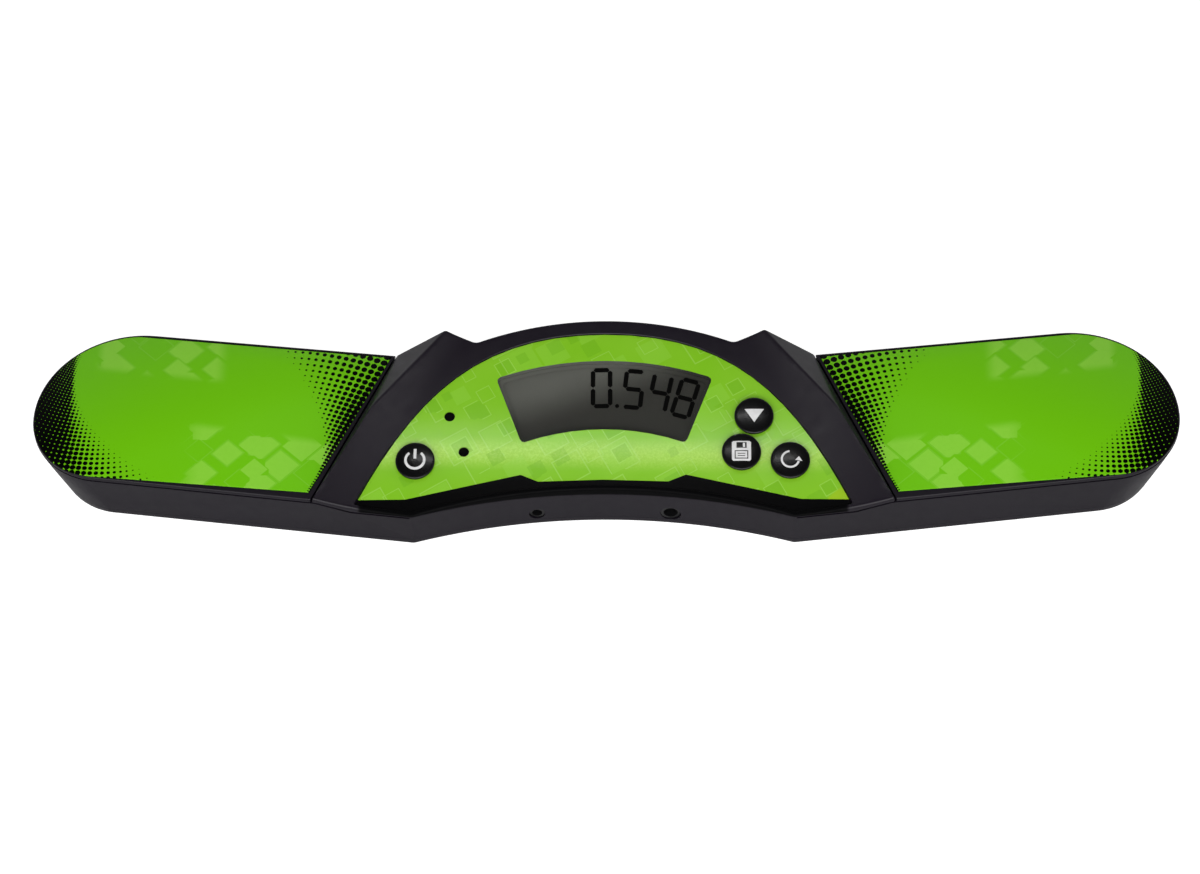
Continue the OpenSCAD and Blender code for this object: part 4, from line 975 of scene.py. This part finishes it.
def area(name, at, aim, size, power):
    lamp = bpy.data.lights.new(name, "AREA")
    lamp.shape, lamp.size, lamp.size_y, lamp.energy = "RECTANGLE", *size, power
    o = bpy.data.objects.new(name, lamp)
    o.location = at
    o.rotation_euler = (Vector(aim) - Vector(at)).to_track_quat("-Z", "Y").to_euler()
    scene.collection.objects.link(o)


area("front_box", (0.0, -0.95, 0.85), (0, 0, 0), (1.3, 0.7), 12.0)
area("sheen_box", (0.0, 0.072, 0.38), (0, -0.01, 0.02), (0.19, 0.012), 0.12)

# a sky that is white near the horizon and dark above, and plain white to the camera
WHITE_BELOW, DARK_ABOVE, DARK = radians(14), radians(56), 0.03
world = bpy.data.worlds.new("studio")
scene.world = world
world.use_nodes = True
wt = world.node_tree
bg = wt.nodes["Background"]
way = wt.nodes.new("ShaderNodeTexCoord").outputs["Generated"]
height = wt.nodes.new("ShaderNodeSeparateXYZ")
wt.links.new(way, height.inputs[0])
fade = wt.nodes.new("ShaderNodeMapRange")
fade.interpolation_type = "SMOOTHSTEP"
for key, value in (("From Min", sin(WHITE_BELOW)), ("From Max", sin(DARK_ABOVE)),
                   ("To Min", 1.0), ("To Max", DARK)):
    fade.inputs[key].default_value = value
wt.links.new(height.outputs[2], fade.inputs["Value"])
wt.links.new(fade.outputs[0], bg.inputs[0])
bg.inputs[1].default_value = 1.0
white = wt.nodes.new("ShaderNodeBackground")
white.inputs[1].default_value = 1.0
path = wt.nodes.new("ShaderNodeLightPath")
pick = wt.nodes.new("ShaderNodeMixShader")
wt.links.new(path.outputs["Is Camera Ray"], pick.inputs[0])
wt.links.new(bg.outputs[0], pick.inputs[1])
wt.links.new(white.outputs[0], pick.inputs[2])
wt.links.new(pick.outputs[0], wt.nodes["World Output"].inputs[0])


def floor():
    me = bpy.data.meshes.new("floor")
    me.from_pydata([(-4, -4, 0), (4, -4, 0), (4, 4, 0), (-4, 4, 0)], [], [(0, 1, 2, 3)])
    o = bpy.data.objects.new("floor", me)
    scene.collection.objects.link(o)
    m = bpy.data.materials.new("floor_white")
    m.use_nodes = True
    t = m.node_tree
    out = t.nodes["Material Output"]
    diff = t.nodes["Principled BSDF"]
    diff.inputs["Base Color"].default_value = (0.8, 0.8, 0.8, 1)
    diff.inputs["Roughness"].default_value = 0.9
    diff.inputs["Specular IOR Level"].default_value = 0.0
    glow = t.nodes.new("ShaderNodeEmission")
    glow.inputs[1].default_value = 0.8
    add = t.nodes.new("ShaderNodeAddShader")
    mix = t.nodes.new("ShaderNodeMixShader")
    lp = t.nodes.new("ShaderNodeLightPath")
    t.links.new(diff.outputs[0], add.inputs[0])
    t.links.new(glow.outputs[0], add.inputs[1])
    t.links.new(lp.outputs["Is Camera Ray"], mix.inputs[0])
    t.links.new(diff.outputs[0], mix.inputs[1])
    t.links.new(add.outputs[0], mix.inputs[2])
    t.links.new(mix.outputs[0], out.inputs[0])
    me.materials.append(m)


floor()
scene.view_settings.view_transform = "Standard"
